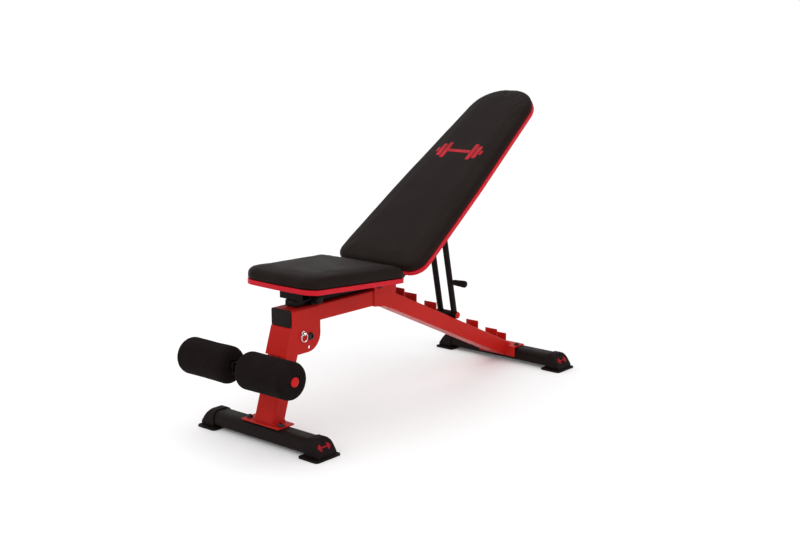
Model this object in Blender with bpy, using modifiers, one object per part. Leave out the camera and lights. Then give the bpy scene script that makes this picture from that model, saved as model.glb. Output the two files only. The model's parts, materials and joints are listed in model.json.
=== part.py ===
"""Decline sit-up bench: a folding steel frame with a tilting seat, a reclining backrest on a
ladder strut, and two foam ankle rollers.

Metres, +Z up, X across the bench. The design is drawn with Y = 0 at the middle of the front
foot and Y growing towards the head end; one empty then moves it all so that the origin is at
the bottom centre of the bounding box.
"""

import math

import bmesh
import bpy
from mathutils import Matrix, Vector

# ---------------------------------------------------------------- driving dimensions
GAP = 0.0003                 # between pieces that touch
WALL = 0.0025                # frame tube wall
TUBE_WIDTH = 0.066           # frame tubes across the bench
PLATE = 0.003                # bracket sheet
PLATE_IN = TUBE_WIDTH / 2 + GAP          # inner face of the side plates, from the middle
PLATE_OUT = PLATE_IN + PLATE             # outer face of the side plates

FRONT_FOOT_HALF = 0.215      # half the length over the front foot's end caps
REAR_FOOT_HALF = 0.233
REAR_FOOT_Y = 1.002
FOOT_DEPTH = 0.058           # foot tube, front to back
FOOT_LOW = 0.009
FOOT_TOP = 0.045
FLANGE_X = 0.066             # rubber foot plate under each cap
FLANGE_Y = 0.086
FLANGE_THICK = 0.0045
CAP_ROOM = 0.038                         # from the foot's end to the end of its tube
SADDLE_TOP = FOOT_TOP + GAP + 0.0035

BEAM_FRONT = 0.060
BEAM_REAR = 0.3647
BEAM_LOW = 0.2805
BEAM_TOP = 0.324

LEG_PIVOT = Vector((0, 0.1227, 0.2485))
LEG_LEAN = math.radians(17.8)            # top of the leg leans to the rear
LEG_FRONT = 0.0679                       # front face, from the pivot, across the leg
LEG_DEPTH = 0.0433
LEG_TOP = -0.020                         # top cut, along the leg from the pivot
LOCK_RADIUS = 0.028                      # lock pin holes, from the pivot
LOCK_ANGLE = math.radians(155)           # the hole in use, from +Y towards +Z
FOLD_ANGLE = math.radians(107)

ROLLER_Y = -0.083
ROLLER_Z = 0.205
ROLLER_RADIUS = 0.047
ROLLER_IN = 0.022
ROLLER_OUT = 0.188
ROLLER_EDGE = 0.018                      # rounding of the foam's ends
ROLLER_BORE = 0.012

SPINE_ANGLE = math.radians(24.7)         # falls to the rear
SPINE_DEPTH = 0.044
SPINE_TOP_POINT = (0.4475, 0.3058)       # a point on the top face
SPINE_START_Y = 0.424
SPINE_END_Y = 0.9685                     # lower part; its upper part runs on over the saddle
SPINE_TIP_Y = 0.993

TOOTH_YS = (0.5041, 0.5564, 0.6444, 0.7356, 0.8427, 0.9395, 0.9866)
TOOTH_THICK = 0.0032
TOOTH_HEIGHT = 0.0235
TOOTH_HALF = 0.0215
REST_TOOTH = 3                           # the strut rests in front of this one

SEAT_PIVOT = Vector((0, 0.384, 0.334))
SEAT_SLOPE = math.radians(-2.95)         # front edge higher
SEAT_ORIGIN = Vector((0, 0.250, 0.3651)) # on the underside of the seat
SEAT_BASE = 0.012                        # board and red band
SEAT_KNOB = Vector((0, 0.150, 0.3385))

BACK_PIVOT = Vector((0, 0.440, 0.352))
BACK_TILT = math.radians(34.4)           # above the horizontal
BACK_REAR = 0.0237                       # back of the board, from the hinge axis
BACK_BASE = 0.0118
BACK_LOW = -0.0105                       # lower end, along the back from the hinge
BACK_HIGH = 0.750
RAIL_X = 0.0495
RAIL_WIDTH = 0.024
RAIL_DEPTH = 0.038
RAIL_HIGH = 0.560

STRUT_ALONG = 0.2670                     # strut pivot, along the back from the hinge
STRUT_OUT = 0.009                        # and out from it
ARM_X = 0.0246
ARM_RADIUS = 0.0087
FOOT_BAR_RADIUS = 0.0095
FOOT_BAR_HALF = 0.036

# ---------------------------------------------------------------- worked-out places
SPINE_ALONG = Vector((0, math.cos(SPINE_ANGLE), -math.sin(SPINE_ANGLE)))
SPINE_UP = Vector((0, math.sin(SPINE_ANGLE), math.cos(SPINE_ANGLE)))


def spine_top(y):
    """Height of the spine's top face at y."""
    return SPINE_TOP_POINT[1] - math.tan(SPINE_ANGLE) * (y - SPINE_TOP_POINT[0])


LEG_AXES = Matrix.Translation(LEG_PIVOT) @ Matrix.Rotation(-LEG_LEAN, 4, "X")
SEAT_AXES = Matrix.Translation(SEAT_ORIGIN) @ Matrix.Rotation(SEAT_SLOPE, 4, "X")
BACK_AXES = Matrix.Translation(BACK_PIVOT) @ Matrix.Rotation(BACK_TILT, 4, "X")
STRUT_PIVOT = BACK_AXES @ Vector((0, STRUT_ALONG, STRUT_OUT))
FRONT_END = ROLLER_Y - ROLLER_RADIUS
REAR_END = (BACK_AXES @ Vector((0, BACK_HIGH, BACK_REAR))).y
CENTRE_Y = (FRONT_END + REAR_END) / 2
FOOT_BAR_Y = TOOTH_YS[REST_TOOTH] - TOOTH_THICK / 2 - FOOT_BAR_RADIUS - GAP
FOOT_BAR_RISE = (FOOT_BAR_RADIUS + GAP) / math.cos(SPINE_ANGLE)
STRUT_FOOT = Vector((0, FOOT_BAR_Y, spine_top(FOOT_BAR_Y) + FOOT_BAR_RISE))


def round_pivot(angle):
    """The lock pin's place at an angle round the leg's pivot."""
    return LEG_PIVOT + LOCK_RADIUS * Vector((0, math.cos(angle), math.sin(angle)))


LOCK_HOLE = round_pivot(LOCK_ANGLE)
FOLDED_HOLE = round_pivot(LOCK_ANGLE + FOLD_ANGLE)

# turns a flat outline so that its x runs along Y, its y along Z, and its thickness along X
SIDEWAYS = Matrix.Rotation(math.radians(90), 4, "Z") @ Matrix.Rotation(math.radians(90), 4, "X")
# turns a piece made round Z so that it lies along X
ALONG_X = Matrix.Rotation(math.radians(90), 4, "Y")


# ---------------------------------------------------------------- scene and materials
def clear_scene():
    for item in list(bpy.data.objects):
        bpy.data.objects.remove(item, do_unlink=True)


def collection(name):
    made = bpy.data.collections.new(name)
    bpy.context.scene.collection.children.link(made)
    return made


def material(name, colour, roughness, metallic=0.0):
    made = bpy.data.materials.new(name)
    made.use_nodes = True
    shader = made.node_tree.nodes["Principled BSDF"]
    shader.inputs["Base Color"].default_value = (*colour, 1)
    shader.inputs["Roughness"].default_value = roughness
    shader.inputs["Metallic"].default_value = metallic
    return made


clear_scene()
PARTS = collection("sit_up_bench")
CUTTERS = collection("cutters")

RED_PAINT = material("red_paint", (0.46, 0.022, 0.020), 0.38)
BLACK_PAINT = material("black_paint", (0.020, 0.018, 0.017), 0.42)
BLACK_STEEL = material("black_steel", (0.030, 0.030, 0.030), 0.35, 0.8)
CHROME = material("chrome", (0.80, 0.80, 0.80), 0.10, 1.0)
RUBBER = material("rubber", (0.016, 0.015, 0.015), 0.65)
FOAM = material("foam", (0.013, 0.011, 0.011), 0.80)
VINYL = material("vinyl", (0.024, 0.020, 0.019), 0.48)
RED_VINYL = material("red_vinyl", (0.48, 0.013, 0.026), 0.45)
RED_PLASTIC = material("red_plastic", (0.52, 0.020, 0.022), 0.40)
BLACK_PLASTIC = material("black_plastic", (0.022, 0.021, 0.021), 0.50)
BLACK_BOARD = material("black_board", (0.030, 0.027, 0.025), 0.75)

AXES = {}


def empty(name, matrix, parent=None):
    """An empty at a place in the drawing; its children's places are kept relative to it."""
    made = bpy.data.objects.new(name, None)
    PARTS.objects.link(made)
    AXES[name] = matrix
    made.parent = parent
    base = AXES[parent.name].inverted() if parent else Matrix()
    made.matrix_local = base @ matrix
    return made


BENCH = empty("bench_origin", Matrix())
BENCH.matrix_local = Matrix.Translation((0, -CENTRE_Y, 0))


def place(item, matrix, parent):
    item.parent = parent
    item.matrix_local = AXES[parent.name].inverted() @ matrix


# ---------------------------------------------------------------- shape helpers
def corner_arms(corners, i):
    """A corner's point, and the directions from it to its two neighbours."""
    here = Vector(corners[i][:2])
    before = (Vector(corners[i - 1][:2]) - here).normalized()
    after = (Vector(corners[(i + 1) % len(corners)][:2]) - here).normalized()
    return here, before, after


def arc_pieces(corners, step):
    """How many straight pieces the arc at each corner is drawn with."""
    counts = []
    for i in range(len(corners)):
        _, before, after = corner_arms(corners, i)
        counts.append(max(2, round((math.pi - before.angle(after)) / step)))
    return counts


def rounded(corners, step=math.radians(18), pieces=None):
    """A closed outline from (x, y, radius) corners, each rounded with an arc."""
    points = []
    pieces = pieces or arc_pieces(corners, step)
    for i, (x, y, radius) in enumerate(corners):
        here, before, after = corner_arms(corners, i)
        if not radius:
            points.append((x, y))
            continue
        opening = before.angle(after)
        reach = radius / math.tan(opening / 2)
        middle = here + (before + after).normalized() * radius / math.sin(opening / 2)
        first = here + before * reach - middle
        turn = math.pi - opening
        side = 1 if before.x * after.y - before.y * after.x < 0 else -1
        for k in range(pieces[i] + 1):
            arm = Matrix.Rotation(side * turn * k / pieces[i], 2) @ first
            points.append(tuple(middle + arm))
    return points


def circle(x, y, radius, count=20):
    turns = (2 * math.pi * k / count for k in range(count))
    return [(x + radius * math.cos(a), y + radius * math.sin(a)) for a in turns]


def rectangle(width, height, radius):
    w, h = width / 2, height / 2
    return rounded([(-w, -h, radius), (w, -h, radius), (w, h, radius), (-w, h, radius)])


def flat_mesh(name, outline, thickness, holes=()):
    """A plate from an outline and its holes, centred on its own plane."""
    curve = bpy.data.curves.new(name, "CURVE")
    curve.dimensions = "2D"
    curve.fill_mode = "BOTH"
    curve.extrude = thickness / 2
    for loop in (outline, *holes):
        spline = curve.splines.new("POLY")
        spline.points.add(len(loop) - 1)
        for point, (x, y) in zip(spline.points, loop):
            point.co = (x, y, 0, 1)
        spline.use_cyclic_u = True
    drawing = bpy.data.objects.new(name, curve)
    bpy.context.scene.collection.objects.link(drawing)
    evaluated = drawing.evaluated_get(bpy.context.evaluated_depsgraph_get())
    mesh = bpy.data.meshes.new_from_object(evaluated)
    bpy.data.objects.remove(drawing)
    bpy.data.curves.remove(curve)
    work = bmesh.new()
    work.from_mesh(mesh)
    bmesh.ops.remove_doubles(work, verts=work.verts, dist=0.000002)
    bmesh.ops.recalc_face_normals(work, faces=work.faces)
    work.to_mesh(mesh)
    work.free()
    mesh.name = name
    return mesh


def add(name, mesh, matrix, look, parent):
    item = bpy.data.objects.new(name, mesh)
    PARTS.objects.link(item)
    mesh.materials.clear()
    mesh.materials.append(look)
    place(item, matrix, parent)
    return item


def smooth(item, angle=math.radians(40)):
    item.data.shade_smooth()
    item.data.set_sharp_from_angle(angle=angle)
    return item


def plate(name, outline, thickness, matrix, look, parent, holes=()):
    mesh = flat_mesh(name, outline, thickness, holes)
    return smooth(add(name, mesh, matrix, look, parent))


def side_plate(name, outline, x_from, x_to, look, parent, holes=(), axes=Matrix()):
    """A plate drawn in the side view (Y, Z) that fills x_from to x_to."""
    matrix = axes @ Matrix.Translation(((x_from + x_to) / 2, 0, 0)) @ SIDEWAYS
    return plate(name, outline, abs(x_to - x_from), matrix, look, parent, holes)


def aim(start, end):
    """Axes halfway between two points, with Z along the line and X across the bench."""
    along = (end - start).normalized()
    across = Vector((1, 0, 0))
    if abs(along.x) > 0.9:
        across = Vector((0, 1, 0))
    depth = along.cross(across)
    middle = (start + end) / 2
    columns = Matrix((across, depth, along)).transposed().to_4x4()
    return Matrix.Translation(middle) @ columns


def tube(name, start, end, width, depth, radius, look, parent, wall=WALL):
    """A rectangular tube between two points, open at both ends."""
    outer = rectangle(width, depth, radius)
    inner = rectangle(width - 2 * wall, depth - 2 * wall, max(radius - wall, 0.001))
    return plate(name, outer, (end - start).length, aim(start, end), look, parent, [inner])


def rod_mesh(name, radius, length, sides=24):
    mesh = bpy.data.meshes.new(name)
    work = bmesh.new()
    bmesh.ops.create_cone(work, cap_ends=True, segments=sides, radius1=radius,
                          radius2=radius, depth=length)
    work.to_mesh(mesh)
    work.free()
    return mesh


def turned(name, profile, matrix, look, parent, sides=28):
    """A solid of revolution about Z from (radius, z) points, listed from top to bottom."""
    mesh = bpy.data.meshes.new(name)
    work = bmesh.new()
    line = [work.verts.new((r, 0, z)) for r, z in profile]
    for a, b in zip(line, line[1:]):
        work.edges.new((a, b))
    if profile[0][0] > 0:
        work.edges.new((line[-1], line[0]))
    work.to_mesh(mesh)
    work.free()
    item = add(name, mesh, matrix, look, parent)
    screw = item.modifiers.new("turn", "SCREW")
    screw.steps = sides
    screw.render_steps = sides
    screw.use_merge_vertices = True
    screw.merge_threshold = 0.00001
    screw.use_smooth_shade = True
    return item


def arc(middle_r, middle_z, radius, start, end, count=6):
    """Points of an arc in a turned profile; angles in degrees from +radius towards +z."""
    turns = (math.radians(start + (end - start) * k / count) for k in range(count + 1))
    return [(middle_r + radius * math.cos(a), middle_z + radius * math.sin(a)) for a in turns]


def cutter(name, mesh, matrix, parent):
    item = bpy.data.objects.new(name, mesh)
    CUTTERS.objects.link(item)
    item.hide_render = True
    item.display_type = "WIRE"
    place(item, matrix, parent)
    return item


def combine(item, other, operation="DIFFERENCE"):
    step = item.modifiers.new(other.name, "BOOLEAN")
    step.operation = operation
    step.solver = "EXACT"
    step.object = other


def box_cutter(name, low, high, parent):
    low, high = Vector(low), Vector(high)
    mesh = bpy.data.meshes.new(name)
    work = bmesh.new()
    bmesh.ops.create_cube(work, size=1, matrix=Matrix.Diagonal((*(high - low), 1)))
    work.to_mesh(mesh)
    work.free()
    return cutter(name, mesh, Matrix.Translation((low + high) / 2), parent)


def hole_across(item, name, centre, radius, parent, length=0.2):
    """A round hole through an item, along X."""
    matrix = Matrix.Translation(centre) @ ALONG_X
    combine(item, cutter(name, rod_mesh(name, radius, length), matrix, parent))


def hole_down(item, name, centre, radius, length, parent):
    matrix = Matrix.Translation(centre)
    combine(item, cutter(name, rod_mesh(name, radius, length, 20), matrix, parent))


def bevel(item, width, segments=2, angle=35):
    step = item.modifiers.new("edges", "BEVEL")
    step.width = width
    step.segments = segments
    step.limit_method = "ANGLE"
    step.angle_limit = math.radians(angle)
    return item


def sided(side):
    return "left" if side < 0 else "right"


# ---------------------------------------------------------------- feet
def foot_outline(margin=0.0, low=FOOT_LOW):
    """The foot tube's D section in (Y, Z): flat below, round above."""
    half = FOOT_DEPTH / 2 + margin
    top = FOOT_TOP + margin
    return rounded([(-half, low, 0.005 + margin), (half, low, 0.005 + margin),
                    (half, top, 0.017 + margin), (-half, top, 0.017 + margin)])


def shifted(outline, dy):
    return [(y + dy, z) for y, z in outline]


def foot(name, y, half, parent):
    """A foot tube with a rubber cap at each end, and the bolt holes in its top."""
    reach = half - CAP_ROOM
    inner = foot_outline(-0.0022, FOOT_LOW + 0.0022)
    bar = side_plate(name + "_tube", shifted(foot_outline(), y), -reach, reach, BLACK_PAINT,
                     parent, [shifted(inner, y)])
    for side in (-1, 1):
        foot_cap(name, y, half, side, parent)
    return bar


def foot_cap(name, y, half, side, parent):
    """A domed rubber cap over the tube's end, on a flat plate that meets the floor."""
    title = f"{name}_cap_{sided(side)}"
    base = rectangle(FLANGE_X, FLANGE_Y, 0.009)
    middle = side * (half - FLANGE_X / 2)
    cap = plate(title, base, FLANGE_THICK,
                Matrix.Translation((middle, y, FLANGE_THICK / 2)), RUBBER, parent)
    bevel(cap, 0.0015, 2)
    body = flat_mesh(title + "_body", shifted(foot_outline(0.0030, 0.002), y), 0.047)
    block = cutter(title + "_body", body, Matrix.Translation((side * (half - 0.0285), 0, 0))
                   @ SIDEWAYS, parent)
    combine(block, cap_slope(title, y, half, side, parent), "INTERSECT")
    bevel(block, 0.0040, 2)
    combine(cap, block, "UNION")
    room = flat_mesh(title + "_room", shifted(foot_outline(GAP, FOOT_LOW - GAP), y), 0.060)
    pocket = Matrix.Translation((side * (half - CAP_ROOM + GAP - 0.030), 0, 0)) @ SIDEWAYS
    combine(cap, cutter(title + "_room", room, pocket, parent))


def cap_slope(title, y, half, side, parent):
    """A block whose outer end leans in towards the top, drawn in the front view (X, Z)."""
    top = FOOT_TOP + 0.010
    lean = [(half - 0.070, 0.0, 0), (half - 0.0065, 0.0, 0), (half - 0.0065, 0.013, 0.008),
            (half - 0.0330, top - 0.004, 0.010), (half - 0.0370, top, 0), (half - 0.070, top, 0)]
    outline = [(side * x, z) for x, z in rounded(lean)]
    matrix = Matrix.Translation((0, y, 0)) @ Matrix.Rotation(math.pi / 2, 4, "X")
    return cutter(title + "_slope", flat_mesh(title + "_slope", outline, 0.10), matrix, parent)


def foot_bolt(name, x, y, top, parent):
    """A domed bolt on a washer, with its shank down into the foot tube."""
    profile = [(0, 0.0070), (0.0035, 0.0067), (0.0060, 0.0050), (0.0070, 0.0026),
               (0.0070, 0.0016), (0.0085, 0.0014), (0.0085, 0.0), (0.0040, 0.0),
               (0.0040, -0.018), (0, -0.018)]
    turned(name, profile, Matrix.Translation((x, y, top + GAP)), BLACK_STEEL, parent, 20)


# ---------------------------------------------------------------- main frame
def front_beam():
    z = (BEAM_LOW + BEAM_TOP) / 2
    start = Vector((0, BEAM_FRONT + GAP, z))
    end = Vector((0, BEAM_REAR, z))
    beam = tube("front_beam", start, end, TUBE_WIDTH, BEAM_TOP - BEAM_LOW, 0.005, RED_PAINT,
                BENCH)
    slot = box_cutter("arc_plate_slot", (0.0178, 0.133, BEAM_TOP - 0.006),
                      (0.0236, 0.168, BEAM_TOP + 0.004), BENCH)
    combine(beam, slot)


def front_beam_plug():
    z = (BEAM_LOW + BEAM_TOP) / 2
    height = BEAM_TOP - BEAM_LOW
    face = Matrix.Translation((0, BEAM_FRONT - 0.002, z)) @ Matrix.Rotation(math.pi / 2, 4, "X")
    plug = plate("front_beam_plug", rectangle(TUBE_WIDTH, height, 0.005), 0.004, face,
                 BLACK_PLASTIC, BENCH)
    bevel(plug, 0.0010, 2)
    inset = 2 * (WALL + GAP)
    stub_mesh = flat_mesh("plug_stub", rectangle(TUBE_WIDTH - inset, height - inset, 0.002), 0.020)
    stub_place = Matrix.Translation((0, BEAM_FRONT + 0.008, z)) @ Matrix.Rotation(math.pi / 2, 4, "X")
    combine(plug, cutter("plug_stub", stub_mesh, stub_place, BENCH), "UNION")


def hinge_bracket():
    """The folded sheet round the front of the beam that the leg swings in."""
    web_out = LEG_FRONT + 0.0005 + PLATE
    web_in = LEG_FRONT + 0.0005

    def on_web(across, height):
        """A point on a line parallel to the leg, that far in front of the pivot, at a height."""
        along = (height - LEG_PIVOT.z - across * math.sin(LEG_LEAN)) / math.cos(LEG_LEAN)
        y = LEG_PIVOT.y - across * math.cos(LEG_LEAN) + along * math.sin(LEG_LEAN)
        return y, height

    low = 0.2085
    side_top = BEAM_TOP - 0.004
    rear = 0.159
    outline = rounded([
        (BEAM_FRONT, side_top, 0.003),
        (BEAM_FRONT, BEAM_LOW, 0.002),
        (*on_web(web_out, BEAM_LOW - 0.004), 0.004),
        (*on_web(web_out, low), 0.002),
        (rear, low, 0.044),
        (rear, side_top, 0.006),
    ], math.radians(12))
    bracket = side_plate("hinge_bracket", outline, -PLATE_OUT, PLATE_OUT, RED_PAINT, BENCH)
    beam_room = box_cutter("beam_room", (-PLATE_IN, 0.03, BEAM_LOW - GAP),
                           (PLATE_IN, 0.25, BEAM_TOP + 0.05), BENCH)
    combine(bracket, beam_room)
    room = [on_web(web_in, BEAM_LOW + 0.01), on_web(web_in, low - 0.02), (0.25, low - 0.02),
            (0.25, BEAM_LOW + 0.01)]
    leg_room = flat_mesh("leg_room", room, 2 * PLATE_IN)
    combine(bracket, cutter("leg_room", leg_room, SIDEWAYS, BENCH))
    hole_across(bracket, "pivot_hole", LEG_PIVOT, 0.0054, BENCH)
    hole_across(bracket, "lock_hole", LOCK_HOLE, 0.0043, BENCH)
    hole_across(bracket, "folded_hole", FOLDED_HOLE, 0.0043, BENCH)


def cross_bolt(name, centre, reach, radius, head_radius, parent, look=None):
    """A bolt through the bench along X, with a domed head and a domed nut."""
    head = 0.0062
    dome = [(0, reach + head), (head_radius * 0.45, reach + head * 0.96),
            (head_radius * 0.80, reach + head * 0.74), (head_radius, reach + head * 0.35),
            (head_radius, reach)]
    lower = [(r, -z) for r, z in reversed(dome)]
    profile = dome + [(radius, reach), (radius, -reach)] + lower
    turned(name, profile, Matrix.Translation(centre) @ ALONG_X, look or BLACK_STEEL, parent, 24)


def hinge_tower():
    """The pressed bracket behind the beam that carries both hinges and the spine."""
    foot_z = 0.2795
    outline = rounded([
        (BEAM_REAR + GAP, foot_z, 0.002),
        (0.4045, 0.2748, 0.010),
        (0.4300, 0.2630, 0.004),
        (0.4520, 0.3080, 0.006),
        (0.4535, 0.3655, 0.0125),
        (0.4265, 0.3655, 0.0120),
        (0.4265, 0.3480, 0.006),
        (BEAM_REAR + GAP, 0.3480, 0.010),
    ], math.radians(15))
    tower = side_plate("hinge_tower", outline, -PLATE_OUT, PLATE_OUT, RED_PAINT, BENCH)
    inside = BEAM_REAR + GAP + PLATE
    combine(tower, box_cutter("tower_room", (-PLATE_IN, inside, 0.20), (PLATE_IN, 0.55, 0.42),
                              BENCH))
    combine(tower, box_cutter("seat_tube_room", (-PLATE_IN, 0.30, BEAM_TOP), (PLATE_IN, 0.50, 0.42),
                              BENCH))
    hole_across(tower, "back_hinge_hole", BACK_PIVOT, 0.0054, BENCH)
    hole_across(tower, "seat_hinge_hole", SEAT_PIVOT, 0.0054, BENCH)


def rear_spine():
    """The long tube that falls to the rear foot."""
    def middle(y):
        return Vector((0, y, spine_top(y))) - SPINE_UP * SPINE_DEPTH / 2

    start = middle(SPINE_START_Y)
    end = middle(SPINE_END_Y + 0.06)
    spine = tube("rear_spine", start, end, TUBE_WIDTH, SPINE_DEPTH, 0.005, RED_PAINT, BENCH)
    reach = TUBE_WIDTH
    combine(spine, box_cutter("spine_end_cut", (-reach, SPINE_END_Y, -0.08),
                              (reach, 1.15, SADDLE_TOP + GAP), BENCH))
    combine(spine, box_cutter("spine_tip_cut", (-reach, SPINE_TIP_Y, -0.08), (reach, 1.16, 0.2),
                              BENCH))


def rack_tooth(number, y):
    """An upright plate welded across the top of the spine."""
    half = TOOTH_THICK / 2
    top = spine_top(y) + TOOTH_HEIGHT
    outline = [(y - half, spine_top(y - half) + GAP), (y + half, spine_top(y + half) + GAP),
               (y + half, top), (y - half, top)]
    tooth = side_plate(f"rack_tooth_{number}", outline, -TOOTH_HALF, TOOTH_HALF, RED_PAINT, BENCH)
    bevel(tooth, 0.0006, 1)


def rear_saddle():
    """The folded plate that joins the spine's end to the rear foot."""
    front = SPINE_END_Y + GAP
    thick = 0.0033
    top = SADDLE_TOP
    outline = rounded([
        (front, 0.018, 0), (front + thick, 0.018, 0), (front + thick, top - thick, 0.0008),
        (1.020, top - thick, 0), (1.020, top, 0), (front, top, 0.0040),
    ], math.radians(22))
    saddle = side_plate("rear_saddle", outline, -0.066, 0.066, RED_PAINT, BENCH)
    return saddle


# ---------------------------------------------------------------- front leg
def leg_tube(axis):
    middle = -(LEG_FRONT - LEG_DEPTH / 2)
    start = LEG_AXES @ Vector((0, middle, LEG_TOP))
    end = LEG_AXES @ Vector((0, middle, -0.255))
    leg = tube("leg_tube", start, end, TUBE_WIDTH, LEG_DEPTH, 0.005, RED_PAINT, axis)
    combine(leg, box_cutter("leg_foot_cut", (-0.06, -0.12, -0.05),
                            (0.06, 0.12, SADDLE_TOP + GAP), axis))


def leg_ears(axis):
    """The two hinge plates in the leg's top, with an open notch for the lock pin."""
    rear = -(LEG_FRONT - LEG_DEPTH) - WALL - 0.0026
    front = -LEG_FRONT + WALL + 0.0026
    boss = 0.019
    step = -0.0012
    outline = [(front, LEG_TOP - 0.040), (rear, LEG_TOP - 0.040), (rear, LEG_TOP + GAP * 2)]
    sweep = [math.radians(a) for a in range(-90, 171, 15)]
    outline += [(boss * math.cos(a), boss * math.sin(a)) for a in sweep]
    outline += [(-boss - 0.001, step), (front, step)]
    for side in (-1, 1):
        inner = side * (TUBE_WIDTH / 2 - WALL - GAP - 0.003)
        outer = side * (TUBE_WIDTH / 2 - WALL - GAP)
        ear = side_plate(f"leg_ear_{sided(side)}", outline, inner, outer, RED_PAINT, axis,
                         axes=LEG_AXES)
        hole_across(ear, f"ear_hole_{sided(side)}", LEG_PIVOT, 0.0054, axis)


def front_saddle(axis):
    base = rounded([(-0.066, -0.023, 0.003), (0.066, -0.023, 0.003), (0.066, 0.033, 0.003),
                    (-0.066, 0.033, 0.003)])
    return plate("front_saddle", base, 0.0035,
                 Matrix.Translation((0, 0, SADDLE_TOP - 0.00175)), RED_PAINT, axis)


def roller_holder(axis):
    """The short tube from the leg to the roller bar."""
    centre = Vector((0, ROLLER_Y, ROLLER_Z))
    start = Vector((0, 0.040, ROLLER_Z - 0.0195))
    end = centre + (centre - start).normalized() * 0.016
    holder = tube("roller_holder", start, end, 0.020, 0.030, 0.006, BLACK_PAINT, axis, 0.002)
    matrix = LEG_AXES @ Matrix.Translation((0, -LEG_FRONT + 0.0497, -0.05))
    mesh = flat_mesh("holder_cut", rectangle(0.10, 0.10, 0.001), 0.4)
    combine(holder, cutter("holder_cut", mesh, matrix, axis))
    hole_across(holder, "bar_hole", (0, ROLLER_Y, ROLLER_Z), 0.0108, axis)


def roller_bar(axis):
    reach = ROLLER_OUT - 0.008
    mesh = flat_mesh("roller_bar", circle(0, 0, 0.0105, 24), 2 * reach, [circle(0, 0, 0.0085, 24)])
    matrix = Matrix.Translation((0, ROLLER_Y, ROLLER_Z)) @ ALONG_X
    smooth(add("roller_bar", mesh, matrix, BLACK_PAINT, axis))


def roller(side, axis):
    """A foam sleeve with rounded ends, and the red plug in its outer end."""
    edge, length = ROLLER_EDGE, ROLLER_OUT - ROLLER_IN
    flat = ROLLER_RADIUS - edge
    profile = [(ROLLER_BORE, length)] + arc(flat, length - edge, edge, 90, 0, 7)
    profile += arc(flat, edge, edge, 0, -90, 7) + [(ROLLER_BORE, 0)]
    centre = Vector((0, ROLLER_Y, ROLLER_Z))
    turn = ALONG_X if side > 0 else Matrix.Rotation(math.pi, 4, "Z") @ ALONG_X
    start = Matrix.Translation(centre) @ turn @ Matrix.Translation((0, 0, ROLLER_IN))
    turned(f"foam_roller_{sided(side)}", profile, start, FOAM, axis, 40)
    plug = [(0, 0.0042), (0.0060, 0.0038), (0.0100, 0.0024), (0.0122, GAP), (0.0116, GAP),
            (0.0116, -0.006), (0, -0.006)]
    end = Matrix.Translation(centre) @ turn @ Matrix.Translation((0, 0, ROLLER_OUT))
    turned(f"roller_plug_{sided(side)}", plug, end, RED_PLASTIC, axis, 24)


def lock_pin(axis):
    """The chrome pin that holds the leg, with a cross hole in its head for the ring."""
    head_in = PLATE_OUT + GAP
    profile = [(0, head_in + 0.0090), (0.0034, head_in + 0.0086), (0.0045, head_in + 0.0074),
               (0.0045, head_in + 0.0012), (0.0060, head_in + 0.0012), (0.0060, head_in),
               (0.0040, head_in), (0.0040, -PLATE_OUT - 0.001), (0.0030, -PLATE_OUT - 0.003),
               (0, -PLATE_OUT - 0.003)]
    pin = turned("lock_pin", profile, Matrix.Translation(LOCK_HOLE) @ ALONG_X, CHROME, axis, 20)
    mesh = rod_mesh("ring_hole", 0.0024, 0.03, 16)
    matrix = Matrix.Translation(ring_hinge()) @ Matrix.Rotation(math.pi / 2, 4, "X")
    combine(pin, cutter("ring_hole", mesh, matrix, axis))


def ring_hinge():
    return LOCK_HOLE + Vector((PLATE_OUT + GAP + 0.0048, 0, 0))


def lock_ring(axis):
    """The pull ring that hangs from the pin's head."""
    radius = 0.0105
    bpy.ops.mesh.primitive_torus_add(major_radius=radius, minor_radius=0.0011,
                                     major_segments=40, minor_segments=8)
    made = bpy.context.object
    mesh = made.data
    bpy.data.objects.remove(made)
    matrix = Matrix.Translation(ring_hinge() - Vector((0, 0, radius))) @ ALONG_X
    smooth(add("lock_ring", mesh, matrix, CHROME, axis), math.radians(80))


# ---------------------------------------------------------------- seat
def seat_corners(inset=0.0, rear=0.0):
    """The seat in its own plane: a little narrower in front, its corners rounded."""
    i = inset
    back = 0.1265 - i - rear
    half = [(0.0, -0.2130 + i, 0.300), (0.098 - 0.8 * i, -0.2085 + i, 0.040),
            (0.1235 - i, -0.1900 + i, max(0.018 - i, 0.006)), (0.1430 - i, back, max(0.026 - i, 0.010))]
    return half + [(-x, y, r) for x, y, r in reversed(half[1:])]


def seat_outline(inset=0.0, rear=0.0):
    step = math.radians(13)
    return rounded(seat_corners(inset, rear), step, arc_pieces(seat_corners(), step))


def seat_frame(axis):
    low, high = BEAM_TOP + 0.0008, BEAM_TOP + 0.0175
    z = (low + high) / 2
    bar = tube("seat_tube", Vector((0, 0.091, z)), Vector((0, SEAT_PIVOT.y - 0.006, z)), 0.036,
               high - low, 0.003, BLACK_PAINT, axis, 0.002)
    sleeve = rod_mesh("seat_sleeve", 0.010, 2 * (PLATE_IN - 0.0006))
    combine(bar, cutter("seat_sleeve", sleeve, Matrix.Translation(SEAT_PIVOT) @ ALONG_X, axis),
            "UNION")
    hole_across(bar, "seat_sleeve_hole", SEAT_PIVOT, 0.0054, axis)
    seat_riser("seat_front_riser", 0.092, 0.122, 0.0395, high, axis)
    seat_riser("seat_rear_riser", 0.325, 0.355, 0.0300, high, axis)


def under_seat(y):
    """Height of the seat's underside at y."""
    return SEAT_ORIGIN.z + math.tan(SEAT_SLOPE) * (y - SEAT_ORIGIN.y)


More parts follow.
